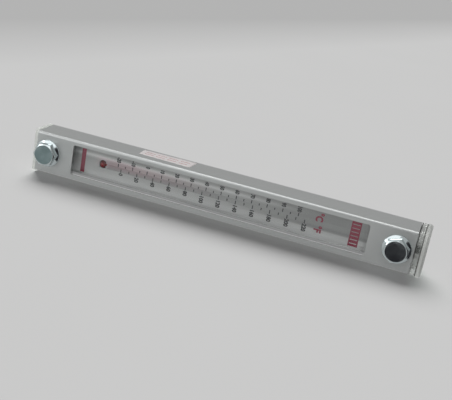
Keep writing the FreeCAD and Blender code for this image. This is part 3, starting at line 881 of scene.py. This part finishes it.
def rounded_sections(inner, outer, inner_edge, outer_edge, outward):
    """Places and insets of a block along X with rounded inner and outer edges."""
    steps = 6
    turns = [math.radians(90.0 * step / steps) for step in range(steps + 1)]
    sections = [(inner + inner_edge * (1 - math.cos(turn)) * outward,
                 inner_edge * (1 - math.sin(turn))) for turn in turns]
    sections += [(outer - outer_edge * (1 - math.sin(turn)) * outward,
                  outer_edge * (1 - math.cos(turn))) for turn in turns]
    return sections


def build_end_cap(name, outward, settings, material):
    """Clear cap: a plate with rounded edges and a boss, and a collar on the upper one."""
    low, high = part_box(name)
    seat, outer, inner_edge = BODY_LOW.x - settings.seat_gap, low.x, settings.inner_edge
    if outward > 0:
        seat, outer, inner_edge = BODY_HIGH.x + settings.seat_gap, high.x, settings.cap_edge / 2
    bm = bmesh.new()
    add_rounded_block(bm, low, high, settings.cap_corner,
                      rounded_sections(seat, outer, inner_edge, settings.cap_edge, outward))
    cap = finish_mesh(bm, name + "_moulded", material, 40.0)
    overlap = inner_edge + 0.2 * MM
    if outward > 0:
        collar = bmesh.new()
        add_collar(collar, low.x, seat + overlap, settings)
        combine(cap, finish_mesh(collar, "collar_tool", material), "UNION")
    plug_low, plug_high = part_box(name.replace("end_cap", "channel_plug"))
    plug_face = plug_low.x if outward < 0 else plug_high.x
    gap = settings.boss_clearance
    boss_low = Vector((0, plug_low.y + gap, plug_low.z + gap))
    boss_high = Vector((0, plug_high.y - gap, plug_high.z - gap))
    boss = bmesh.new()
    add_rounded_block(boss, boss_low, boss_high, settings.boss_corner,
                      ((seat + overlap * outward, 0.0), (plug_face + gap * outward, 0.0)), 3)
    combine(cap, finish_mesh(boss, "boss_tool", material), "UNION")
    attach(cap, GAUGE)
    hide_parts(name)


class GAUGE_OT_end_caps(bpy.types.Operator):
    """Build the two clear moulded end caps"""

    bl_idname = "gauge.end_caps"
    bl_label = "End Caps"

    def execute(self, context):
        settings = context.scene.gauge_clear
        build_end_cap("lower_end_cap", -1, settings,
                      hazy_plastic("moulded_cap", settings, settings.lower_cap_haze))
        build_end_cap("upper_end_cap", 1, settings, collared_plastic("collared_cap", settings))
        return {"FINISHED"}


class GAUGE_OT_rubber_parts(bpy.types.Operator):
    """Finish the seals and the channel plugs"""

    bl_idname = "gauge.rubber_parts"
    bl_label = "Seals and Plugs"

    def execute(self, context):
        rubber = black_rubber(context.scene.gauge_rubber)
        for end in ("lower", "upper"):
            for part in ("channel_plug", "head_seal", "tank_seal"):
                dress("%s_%s" % (end, part), rubber)
        return {"FINISHED"}


class GAUGE_OT_scale_film(bpy.types.Operator):
    """Finish the milky film that carries the scale"""

    bl_idname = "gauge.scale_film"
    bl_label = "Scale Film"

    def execute(self, context):
        dress("scale_film", milky_film(context.scene.gauge_clear))
        return {"FINISHED"}


def print_text(bm, text, along, across, height, squeeze, weight, align="CENTER"):
    """Add flat letters to the film: they read across the gauge, with their tops to +X."""
    font = bpy.data.curves.new("letters", "FONT")
    font.body = text
    font.size = height / DIGIT_SHARE
    font.align_x = align
    font.align_y = "CENTER"
    font.offset = weight
    font.extrude = PRINT_DEPTH / 2
    font.resolution_u = 3
    holder = bpy.data.objects.new("letters", font)
    bpy.context.scene.collection.objects.link(holder)
    graph = bpy.context.evaluated_depsgraph_get()
    mesh = bpy.data.meshes.new_from_object(holder.evaluated_get(graph))
    turn = Matrix(((0, 1, 0), (0, 0, -1), (-squeeze, 0, 0))).to_4x4()
    middle = FILM_LOW.y - PRINT_GAP - PRINT_DEPTH / 2
    place = Matrix.Translation((along, middle, across))
    mesh.transform(place @ turn)
    bm.from_mesh(mesh)
    bpy.data.objects.remove(holder)
    bpy.data.curves.remove(font)
    bpy.data.meshes.remove(mesh)


def print_bar(bm, low_x, high_x, low_z, high_z):
    """Add a flat printed rectangle to the film."""
    back = FILM_LOW.y - PRINT_GAP
    add_slab(bm, (low_x, back - PRINT_DEPTH, low_z), (high_x, back, high_z))


def finish_print(bm, name, material):
    """Make a piece of what was printed."""
    bmesh.ops.remove_doubles(bm, verts=bm.verts, dist=1e-7)
    bmesh.ops.dissolve_degenerate(bm, dist=1e-7, edges=bm.edges)
    printed = finish_mesh(bm, name, material)
    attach(printed, GAUGE)


def print_scale(bm, s, values, every, along_of, foot, ticks, across, squeeze, align):
    """Ticks from a foot line, longer and with a number at every so many degrees."""
    half = s.tick_width / 2
    for value in values:
        along = along_of(value)
        numbered = value % every == 0
        low, high = sorted((foot, foot + (ticks[0] if numbered else ticks[1])))
        print_bar(bm, along - half, along + half, low, high)
        if numbered:
            print_text(bm, str(value), along, across, s.number_height, squeeze,
                       s.number_weight, align)


class GAUGE_OT_scale_print(bpy.types.Operator):
    """Print the two scales of numbers and ticks"""

    bl_idname = "gauge.scale_print"
    bl_label = "Scale Print"

    def execute(self, context):
        s = context.scene.gauge_scale
        bm = bmesh.new()

        def along_of(celsius):
            return s.zero_place + celsius * s.degree_length

        print_scale(bm, s, range(-20, 101, 5), 10, along_of, s.celsius_foot,
                    (s.celsius_tick, s.celsius_half_tick),
                    s.celsius_centre, s.number_squeeze, "CENTER")
        print_scale(bm, s, range(0, 221, 10), 20, lambda f: along_of((f - 32) / 1.8),
                    s.fahrenheit_foot, (-s.fahrenheit_tick, -s.fahrenheit_half_tick),
                    s.fahrenheit_start, s.fahrenheit_squeeze, "LEFT")
        finish_print(bm, "scale_numbers", printed_ink("black_ink", s.ink))
        return {"FINISHED"}


class GAUGE_OT_red_print(bpy.types.Operator):
    """Print the unit letters, the low-level bar and the hatched block"""

    bl_idname = "gauge.red_print"
    bl_label = "Red Print"

    def execute(self, context):
        s = context.scene.gauge_scale
        material = printed_ink("red_ink", s.red_ink)
        letters = bmesh.new()
        for sign, across in (("°C", s.celsius_letters), ("°F", s.fahrenheit_letters)):
            print_text(letters, sign, s.letters_place, across, s.letters_height,
                       s.letters_squeeze, s.letters_weight)
        finish_print(letters, "unit_letters", material)

        half, bar, block = s.mark_height / 2, s.low_mark_width / 2, s.end_mark_width / 2
        low_bar = bmesh.new()
        print_bar(low_bar, s.low_mark - bar, s.low_mark + bar, -half, half)
        finish_print(low_bar, "low_level_bar", material)

        hatched = bmesh.new()
        lap = 0.1 * MM
        low, high = s.end_mark - block, s.end_mark + block
        inner_low, inner_high = low + s.hatch_edge, high - s.hatch_edge
        print_bar(hatched, low, inner_low, -half - lap, half + lap)
        print_bar(hatched, inner_high, high, -half - lap, half + lap)
        step = s.mark_height / (2 * s.hatch_stripes - 1)
        widened = 0.3 * step
        for stripe in range(s.hatch_stripes):
            start = -half + 2 * stripe * step
            stop = start + step
            if stripe > 0:
                start -= widened
            if stripe < s.hatch_stripes - 1:
                stop += widened
            print_bar(hatched, inner_low - lap, inner_high + lap, start, stop)
        finish_print(hatched, "hatched_block", material)
        return {"FINISHED"}


def build_spirit(settings):
    """Spirit that fills the bulb and the bore right up to the glass, turned about X."""
    low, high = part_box("thermometer_liquid")
    radius = (high.z - low.z) / 2 + settings.wetting
    centre = Vector((low.x + (high.z - low.z) / 2, (low.y + high.y) / 2, 0))
    thread = settings.bore_radius + settings.wetting
    bulb_steps, count = 20, 40
    mouth = math.asin(thread / radius)
    profile = []
    for step in range(1, bulb_steps + 1):
        turn = math.pi - (math.pi - mouth) * step / bulb_steps
        profile.append((radius * math.cos(turn), radius * math.sin(turn)))
    top = high.x - centre.x
    profile += [(top - thread, thread), (top - thread * 0.3, thread * 0.8), (top, thread * 0.3)]
    turns = [math.tau * step / count for step in range(count)]
    bm = bmesh.new()
    skin_rings(bm, [[centre + Vector((along, far * math.cos(turn), far * math.sin(turn)))
                     for turn in turns] for along, far in profile])
    spirit = finish_mesh(bm, "spirit_column", red_spirit(settings), 60.0)
    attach(spirit, GAUGE)
    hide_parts("thermometer_liquid")


class GAUGE_OT_thermometer(bpy.types.Operator):
    """Finish the glass tube, its red spirit and the two cradles"""

    bl_idname = "gauge.thermometer"
    bl_label = "Thermometer"

    def execute(self, context):
        settings = context.scene.gauge_clear
        dress("thermometer_tube", clear_glass(settings))
        build_spirit(settings)
        cradle = hazy_plastic("moulded_cradle", settings, settings.cradle_haze)
        for end in ("lower", "upper"):
            dress(end + "_tube_clip", cradle)
        return {"FINISHED"}


def hexagon_radius(around, across_flats):
    """Distance from a hexagon's centre to its side, with corners on the X axis."""
    off = (around % (math.pi / 3)) - math.pi / 6
    return across_flats / 2 / math.cos(off)


def bolt_rings(s, front, tip, thread_radius, waist, flange_radius, count):
    """Rings of the bolt's outside, from the head's centre to the bore at its tip.

    The head's rings follow its chamfer, the hexagon and the flange's cone. The shank ends at
    the mounting face, where Y is 0.
    """
    under = front + s.head_height
    flange_top = under - s.flange_height
    ring_radius = s.across_flats / 2 - s.head_chamfer
    chamfer_slope = 1 / math.sqrt(3)
    soft, fillet, rim_fillet, under_edge = 0.12 * MM, 0.15 * MM, 0.25 * MM, 0.15 * MM

    def side(around):
        return hexagon_radius(around, s.across_flats)

    def chamfer_foot(around):
        return front + max(0.0, side(around) - ring_radius) * chamfer_slope

    def cone(radius):
        run = flange_radius - s.across_flats / 2
        fall = (radius - s.across_flats / 2) / run
        return flange_top + (s.flange_height - s.flange_rim) * fall

    shank, neck, bore = s.shank_diameter / 2, s.waist_diameter / 2, s.bore_diameter / 2
    neck_slope, groove_slope, bore_chamfer = 0.4 * MM, 0.3 * MM, 0.3 * MM
    outside = [
        (ring_radius * 0.4, front),
        (ring_radius - 3 * soft, front),
        (ring_radius - soft, front),
        (ring_radius + soft, front + soft * chamfer_slope),
        (lambda a: side(a) - soft * 0.5, chamfer_foot),
        (side, lambda a: chamfer_foot(a) + soft * 1.5),
        (side, lambda a: cone(side(a)) - fillet),
        (lambda a: side(a) + fillet, lambda a: cone(side(a) + fillet)),
        (flange_radius - rim_fillet, cone(flange_radius - rim_fillet)),
        (flange_radius, under - s.flange_rim + rim_fillet),
        (flange_radius, under - under_edge),
        (flange_radius - under_edge, under),
        (shank, under),
        (shank, waist[0]),
        (neck, waist[0] + neck_slope),
        (neck, waist[1] - neck_slope),
        (shank, waist[1]),
        (shank, 0.0),
        (s.thread_root / 2, groove_slope),
    ]
    return ([turned_ring(radius, place, count) for radius, place in outside]
            + thread_rings(s, s.relief_length, tip, thread_radius, count)
            + [turned_ring(bore + bore_chamfer, tip, count),
               turned_ring(bore, tip - bore_chamfer, count)])


def thread_rings(s, start, tip, crest, count):
    """Rings that follow the thread's helix, cut off square at both ends."""
    root = s.thread_root / 2
    pitch = s.thread_pitch
    # Parts of one turn, and the radius at each.
    profile = ((0.0, root), (0.12, root), (0.46, crest), (0.58, crest), (0.92, root))
    rings = []
    for turn in range(-1, math.ceil((tip - start) / pitch) + 1):
        for part, radius in profile:
            ring = []
            for step in range(count):
                around = math.tau * step / count
                place = start + (turn + part + step / count) * pitch
                place = min(max(place, start), tip)
                room = min(root + (place - start), crest - s.tip_chamfer + (tip - place))
                far = min(radius, room)
                ring.append(Vector((far * math.cos(around), place, far * math.sin(around))))
            rings.append(ring)
    return rings


def build_bolt(name, s, head_turn, material):
    """Hollow flanged bolt with a cut thread, an oil bore and a cross port."""
    low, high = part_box(name)
    count = 96
    centre_x = (low.x + high.x) / 2
    pin = next(m for m in frame["record"]["mounts"] if m["name"].startswith(name))
    plug_low, plug_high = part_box("lower_channel_plug")
    port_place = (plug_low.y + plug_high.y) / 2
    waist = (FILM_LOW.y - 0.1 * MM, plug_high.y)
    rings = bolt_rings(s, low.y, high.y, pin["dims"]["r_mm"] * MM, waist,
                       high.x - centre_x, count)
    past_port = 0.6 * MM
    bore_end = port_place - s.port_diameter / 2 - past_port
    rings.append(turned_ring(s.bore_diameter / 2, bore_end, count))
    bm = bmesh.new()
    skin_rings(bm, rings)
    bolt = finish_mesh(bm, name + "_turned", material, 28.0)
    port = bmesh.new()
    bmesh.ops.create_cone(port, cap_ends=True, segments=32, radius1=s.port_diameter / 2,
                          radius2=s.port_diameter / 2, depth=s.shank_diameter * 1.2,
                          matrix=Matrix.Rotation(math.radians(90), 4, "Y"))
    bmesh.ops.translate(port, verts=port.verts, vec=(0, port_place, 0))
    combine(bolt, finish_mesh(port, "port_tool", material), "DIFFERENCE")
    turn = Matrix.Rotation(-head_turn, 4, "Y")
    bolt.data.transform(Matrix.Translation((centre_x, 0, 0)) @ turn)
    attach(bolt, name)
    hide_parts(name)


class GAUGE_OT_bolts(bpy.types.Operator):
    """Build the two hollow flanged bolts with their threads"""

    bl_idname = "gauge.bolts"
    bl_label = "Bolts"

    def execute(self, context):
        material = bright_zinc(context.scene.gauge_metal)
        settings = context.scene.gauge_bolt
        build_bolt("lower_bolt", settings, settings.lower_head_turn, material)
        build_bolt("upper_bolt", settings, settings.upper_head_turn, material)
        return {"FINISHED"}


def label_point(skew, u, v, rise):
    """A place on the label, u along it and v from its front to its back edge."""
    front_slant, back_slant, end_lean = skew * 0.9, skew * 0.7, skew * 0.3
    front = LABEL_LOW.y + front_slant * (1 - u)
    back = LABEL_HIGH.y - back_slant * (1 - u)
    along = LABEL_LOW.x + (LABEL_HIGH.x - LABEL_LOW.x) * u - end_lean * v * (1 - 2 * u)
    return Vector((along, front + (back - front) * v, rise))


class GAUGE_OT_paper_label(bpy.types.Operator):
    """Build the bare paper label, a little askew, with faint ruled dashes"""

    bl_idname = "gauge.paper_label"
    bl_label = "Paper Label"

    def execute(self, context):
        s = context.scene.gauge_label
        along, across = 24, 10
        air, thickness, waviness = 0.01 * MM, 0.05 * MM, 0.02 * MM
        top = HOUSING_HIGH.z + air + thickness
        bm = bmesh.new()
        grid = []
        for row in range(across + 1):
            line = []
            for column in range(along + 1):
                u, v = column / along, row / across
                wave = noise.noise(Vector((u * 5, v * 2, 0.3))) * waviness
                line.append(bm.verts.new(label_point(s.skew, u, v, top + wave)))
            grid.append(line)
        for first, second in zip(grid, grid[1:]):
            for column in range(along):
                bm.faces.new((first[column], first[column + 1],
                              second[column + 1], second[column]))
        sheet = finish_mesh(bm, "skewed_label", label_paper("label_paper", s.paper))
        solid = sheet.modifiers.new("thickness", "SOLIDIFY")
        solid.thickness = thickness
        solid.offset = -1.0
        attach(sheet, GAUGE)
        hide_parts("paper_label")

        bm = bmesh.new()
        half = Vector((0, s.rule_width / 2, 0))
        rows, starts, ink_rise = (0.3, 0.62), (0.08, 0.3, 0.52, 0.74), 0.025 * MM
        for v in rows:
            for start in starts:
                left = label_point(s.skew, start, v, top)
                right = label_point(s.skew, start + s.rule_length, v, top)
                outline = (left - half, right - half, right + half, left + half)
                skin_rings(bm, [[corner + Vector((0, 0, rise)) for corner in outline]
                                for rise in (0.0, ink_rise)])
        rules = finish_mesh(bm, "label_rules", label_paper("rule_ink", s.rule))
        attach(rules, GAUGE)
        return {"FINISHED"}


# ---------------------------------------------------------------- stage

def hang_lamp(name, kind, direction, only):
    """Lamp that shines from a direction on the named receivers."""
    lamp = bpy.data.lights.new(name, kind)
    holder = bpy.data.objects.new(name, lamp)
    bpy.context.scene.collection.objects.link(holder)
    holder.rotation_mode = "QUATERNION"
    holder.rotation_quaternion = Vector(direction).to_track_quat("Z", "Y")
    holder.light_linking.receiver_collection = only
    return holder


def hang_panel(name, direction, distance, size, radiance, only):
    """Soft rectangular lamp that shines on the middle of the gauge's front."""
    holder = hang_lamp(name, "AREA", direction, only)
    holder.location = FRONT_MIDDLE + Vector(direction).normalized() * distance
    holder.data.shape = "RECTANGLE"
    holder.data.size, holder.data.size_y = size
    holder.data.energy = radiance * math.pi * size[0] * size[1]
    return holder


def receivers(name, objects):
    group = bpy.data.collections.new(name)
    for item in objects:
        group.objects.link(item)
    return group


def build_world(sky, seen):
    """Even light from all around, seen by camera, mirrors and glass as a pale backdrop."""
    world = bpy.data.worlds.new("studio")
    bpy.context.scene.world = world
    world.use_nodes = True
    nodes, links = world.node_tree.nodes, world.node_tree.links
    lit = nodes["Background"]
    lit.inputs["Color"].default_value = (1.0, 1.0, 1.0, 1.0)
    lit.inputs["Strength"].default_value = sky
    backdrop = nodes.new("ShaderNodeBackground")
    backdrop.inputs["Color"].default_value = (*seen, 1.0)
    path = nodes.new("ShaderNodeLightPath")
    most = path.outputs["Is Camera Ray"]
    for output in ("Is Glossy Ray", "Is Transmission Ray"):
        either = nodes.new("ShaderNodeMath")
        either.operation = "MAXIMUM"
        links.new(most, either.inputs[0])
        links.new(path.outputs[output], either.inputs[1])
        most = either.outputs[0]
    mix = nodes.new("ShaderNodeMixShader")
    links.new(most, mix.inputs[0])
    links.new(lit.outputs[0], mix.inputs[1])
    links.new(backdrop.outputs[0], mix.inputs[2])
    links.new(mix.outputs[0], nodes["World Output"].inputs["Surface"])


def build_floor(settings):
    bm = bmesh.new()
    half_width = 9.0
    bmesh.ops.create_grid(bm, x_segments=4, y_segments=4, size=half_width,
                          matrix=Matrix.Translation((0, 0, REST_HEIGHT)))
    floor = finish_mesh(bm, "floor", matt_floor(settings))
    floor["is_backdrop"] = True
    return floor


def build_flag(name, corners, tone, strength=1.0):
    """Sheet that only mirrors see, given by its corners: it glows in a fixed tone, a painted
    reflection.
    """
    bm = bmesh.new()
    bm.faces.new([bm.verts.new(corner) for corner in corners])
    flag = finish_mesh(bm, name, flag_cloth(tone, strength))
    flag.visible_camera = False
    flag.visible_diffuse = False
    flag.visible_transmission = False
    flag.visible_shadow = False
    flag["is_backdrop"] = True


def lying_flag(name, low_x, high_x, tone):
    """Sheet that lies just above the floor in front of a bolt, a painted reflection in the bolt's
    face.
    """
    near, far = HOUSING_LOW.y - 25 * MM, HOUSING_LOW.y - 78 * MM
    build_flag(name, ((low_x, far, REFLECTION_SHEET_HEIGHT), (high_x, far, REFLECTION_SHEET_HEIGHT),
                      (high_x, near, REFLECTION_SHEET_HEIGHT), (low_x, near, REFLECTION_SHEET_HEIGHT)), tone)


def wedge_flags(name, bolt_x, first_degrees, second_degrees, high, tone):
    """Sheets that darken a bolt's right side with a painted dark reflection: a wedge on the floor
    and a screen behind it.
    """
    bolt = Vector((bolt_x, HOUSING_LOW.y, 0))
    near, far, widening = 12 * MM, 480 * MM, 0.5
    edges = []
    for degrees in (first_degrees, second_degrees):
        turn = math.radians(degrees)
        away = Vector((math.sin(turn), -math.cos(turn), 0))
        edges.append((bolt + away * near, bolt + away * far))
    (first, first_far), (second, second_far) = edges
    on_floor = Vector((0, 0, REFLECTION_SHEET_HEIGHT))
    build_flag(name + "_wedge", [corner + on_floor for corner in
                                 (first, second, second_far, first_far)], tone)
    wider = first_far - (second_far - first_far) * widening
    low, top = Vector((0, 0, REST_HEIGHT)), Vector((0, 0, high))
    build_flag(name + "_screen", (wider + low, second_far + low,
                                  second_far + top, wider + top), tone)


def bright_card(strength):
    """Tall glowing card to the left of the camera, for the bolts to mirror as a painted highlight.
    """
    left, right = FRONT_MIDDLE + Vector((-1.25, -0.60, 0)), FRONT_MIDDLE + Vector((0.15, -1.42, 0))
    foot, top = Vector((0, 0, REST_HEIGHT)), Vector((0, 0, 1.0))
    build_flag("bright_card", (left + foot, right + foot, right + top, left + top),
               (0.9, 0.92, 0.94), strength)


def build_camera(s):
    """Camera on a sphere round the point it looks at, turned about its line of sight."""
    aim = Vector((s.aim_along, HOUSING_LOW.y, s.aim_across))
    back = Vector((math.sin(s.azimuth) * math.cos(s.elevation),
                   -math.cos(s.azimuth) * math.cos(s.elevation),
                   math.sin(s.elevation)))
    data = bpy.data.cameras.new("camera")
    data.lens = s.lens
    data.clip_start, data.clip_end = 0.01, 20.0
    camera = bpy.data.objects.new("camera", data)
    bpy.context.scene.collection.objects.link(camera)
    camera.location = aim + back * s.distance
    level = back.to_track_quat("Z", "Y")
    camera.rotation_mode = "QUATERNION"
    camera.rotation_quaternion = level @ Matrix.Rotation(s.roll, 3, "Z").to_quaternion()
    bpy.context.scene.camera = camera


class GAUGE_OT_stage(bpy.types.Operator):
    """Set up the floor, the lamps, the sheets for painted reflections and the camera"""

    bl_idname = "gauge.stage"
    bl_label = "Stage"

    def execute(self, context):
        s = context.scene.gauge_stage
        context.scene.view_settings.view_transform = "Standard"
        context.scene.cycles.transparent_max_bounces = 32
        build_world(s.sky, tuple(s.floor))
        floor = build_floor(s)
        on_gauge = receivers("lit_gauge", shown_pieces())

        rear = hang_lamp("rear_lamp", "SUN", (-0.35, 0.8, 0.92), receivers("lit_floor", [floor]))
        rear.data.energy, rear.data.angle = s.rear_lamp, s.rear_softness
        hang_panel("top_lamp", (-0.12, -0.35, 1.0), 0.9, (0.9, 0.35), s.top_lamp, on_gauge)
        hang_panel("side_lamp", (-1.22, -1.0, 0.27), 0.6, (0.2, 0.2), s.side_lamp, on_gauge)
        below = hang_panel("bounce_lamp", (-0.5, -0.35, -1.0), 0.9, (1.4, 0.5), s.bounce, on_gauge)
        below.light_linking.blocker_collection = receivers("gauge_shadows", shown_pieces())

        # Tones of the painted reflections in the bolts' faces: near black, and grey-teal for the
        # lower bolt.
        dark, green = (0.026, 0.025, 0.028), (0.205, 0.25, 0.25)
        upper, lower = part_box("upper_bolt"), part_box("lower_bolt")
        lying_flag("upper_dark_reflection", upper[0].x - 5 * MM, upper[1].x + 1 * MM, dark)
        lying_flag("lower_teal_reflection", lower[0].x - 31 * MM, lower[1].x - 16 * MM, green)
        wedge_flags("upper", upper[1].x, 38.0, 54.0, 250 * MM, dark)
        wedge_flags("lower", lower[1].x, 12.0, 29.0, 150 * MM, dark)
        bright_card(s.card)
        build_camera(s)
        return {"FINISHED"}


STEPS = (
    GAUGE_OT_housing,
    GAUGE_OT_sight_body,
    GAUGE_OT_end_caps,
    GAUGE_OT_rubber_parts,
    GAUGE_OT_scale_film,
    GAUGE_OT_scale_print,
    GAUGE_OT_red_print,
    GAUGE_OT_thermometer,
    GAUGE_OT_bolts,
    GAUGE_OT_paper_label,
    GAUGE_OT_stage,
)

SETTINGS = {
    "gauge_metal": MetalSettings,
    "gauge_bolt": BoltSettings,
    "gauge_clear": ClearSettings,
    "gauge_rubber": RubberSettings,
    "gauge_scale": ScaleSettings,
    "gauge_label": LabelSettings,
    "gauge_stage": StageSettings,
}


class GAUGE_PT_panel(bpy.types.Panel):
    """Every step of the level gauge"""

    bl_idname = "GAUGE_PT_panel"
    bl_label = "Level Gauge"
    bl_space_type = "VIEW_3D"
    bl_region_type = "UI"
    bl_category = "Level Gauge"

    def draw(self, context):
        for step in STEPS:
            self.layout.operator(step.bl_idname)


def register():
    for group in SETTINGS.values():
        bpy.utils.register_class(group)
    for step in STEPS:
        bpy.utils.register_class(step)
    bpy.utils.register_class(GAUGE_PT_panel)
    for name, group in SETTINGS.items():
        setattr(bpy.types.Scene, name, bpy.props.PointerProperty(type=group))


def unregister():
    for name in SETTINGS:
        delattr(bpy.types.Scene, name)
    bpy.utils.unregister_class(GAUGE_PT_panel)
    for step in reversed(STEPS):
        bpy.utils.unregister_class(step)
    for group in reversed(list(SETTINGS.values())):
        bpy.utils.unregister_class(group)


def main():
    register()
    for step in STEPS:
        family, call = step.bl_idname.split(".")
        getattr(getattr(bpy.ops, family), call)()


if __name__ == "__main__":
    main()
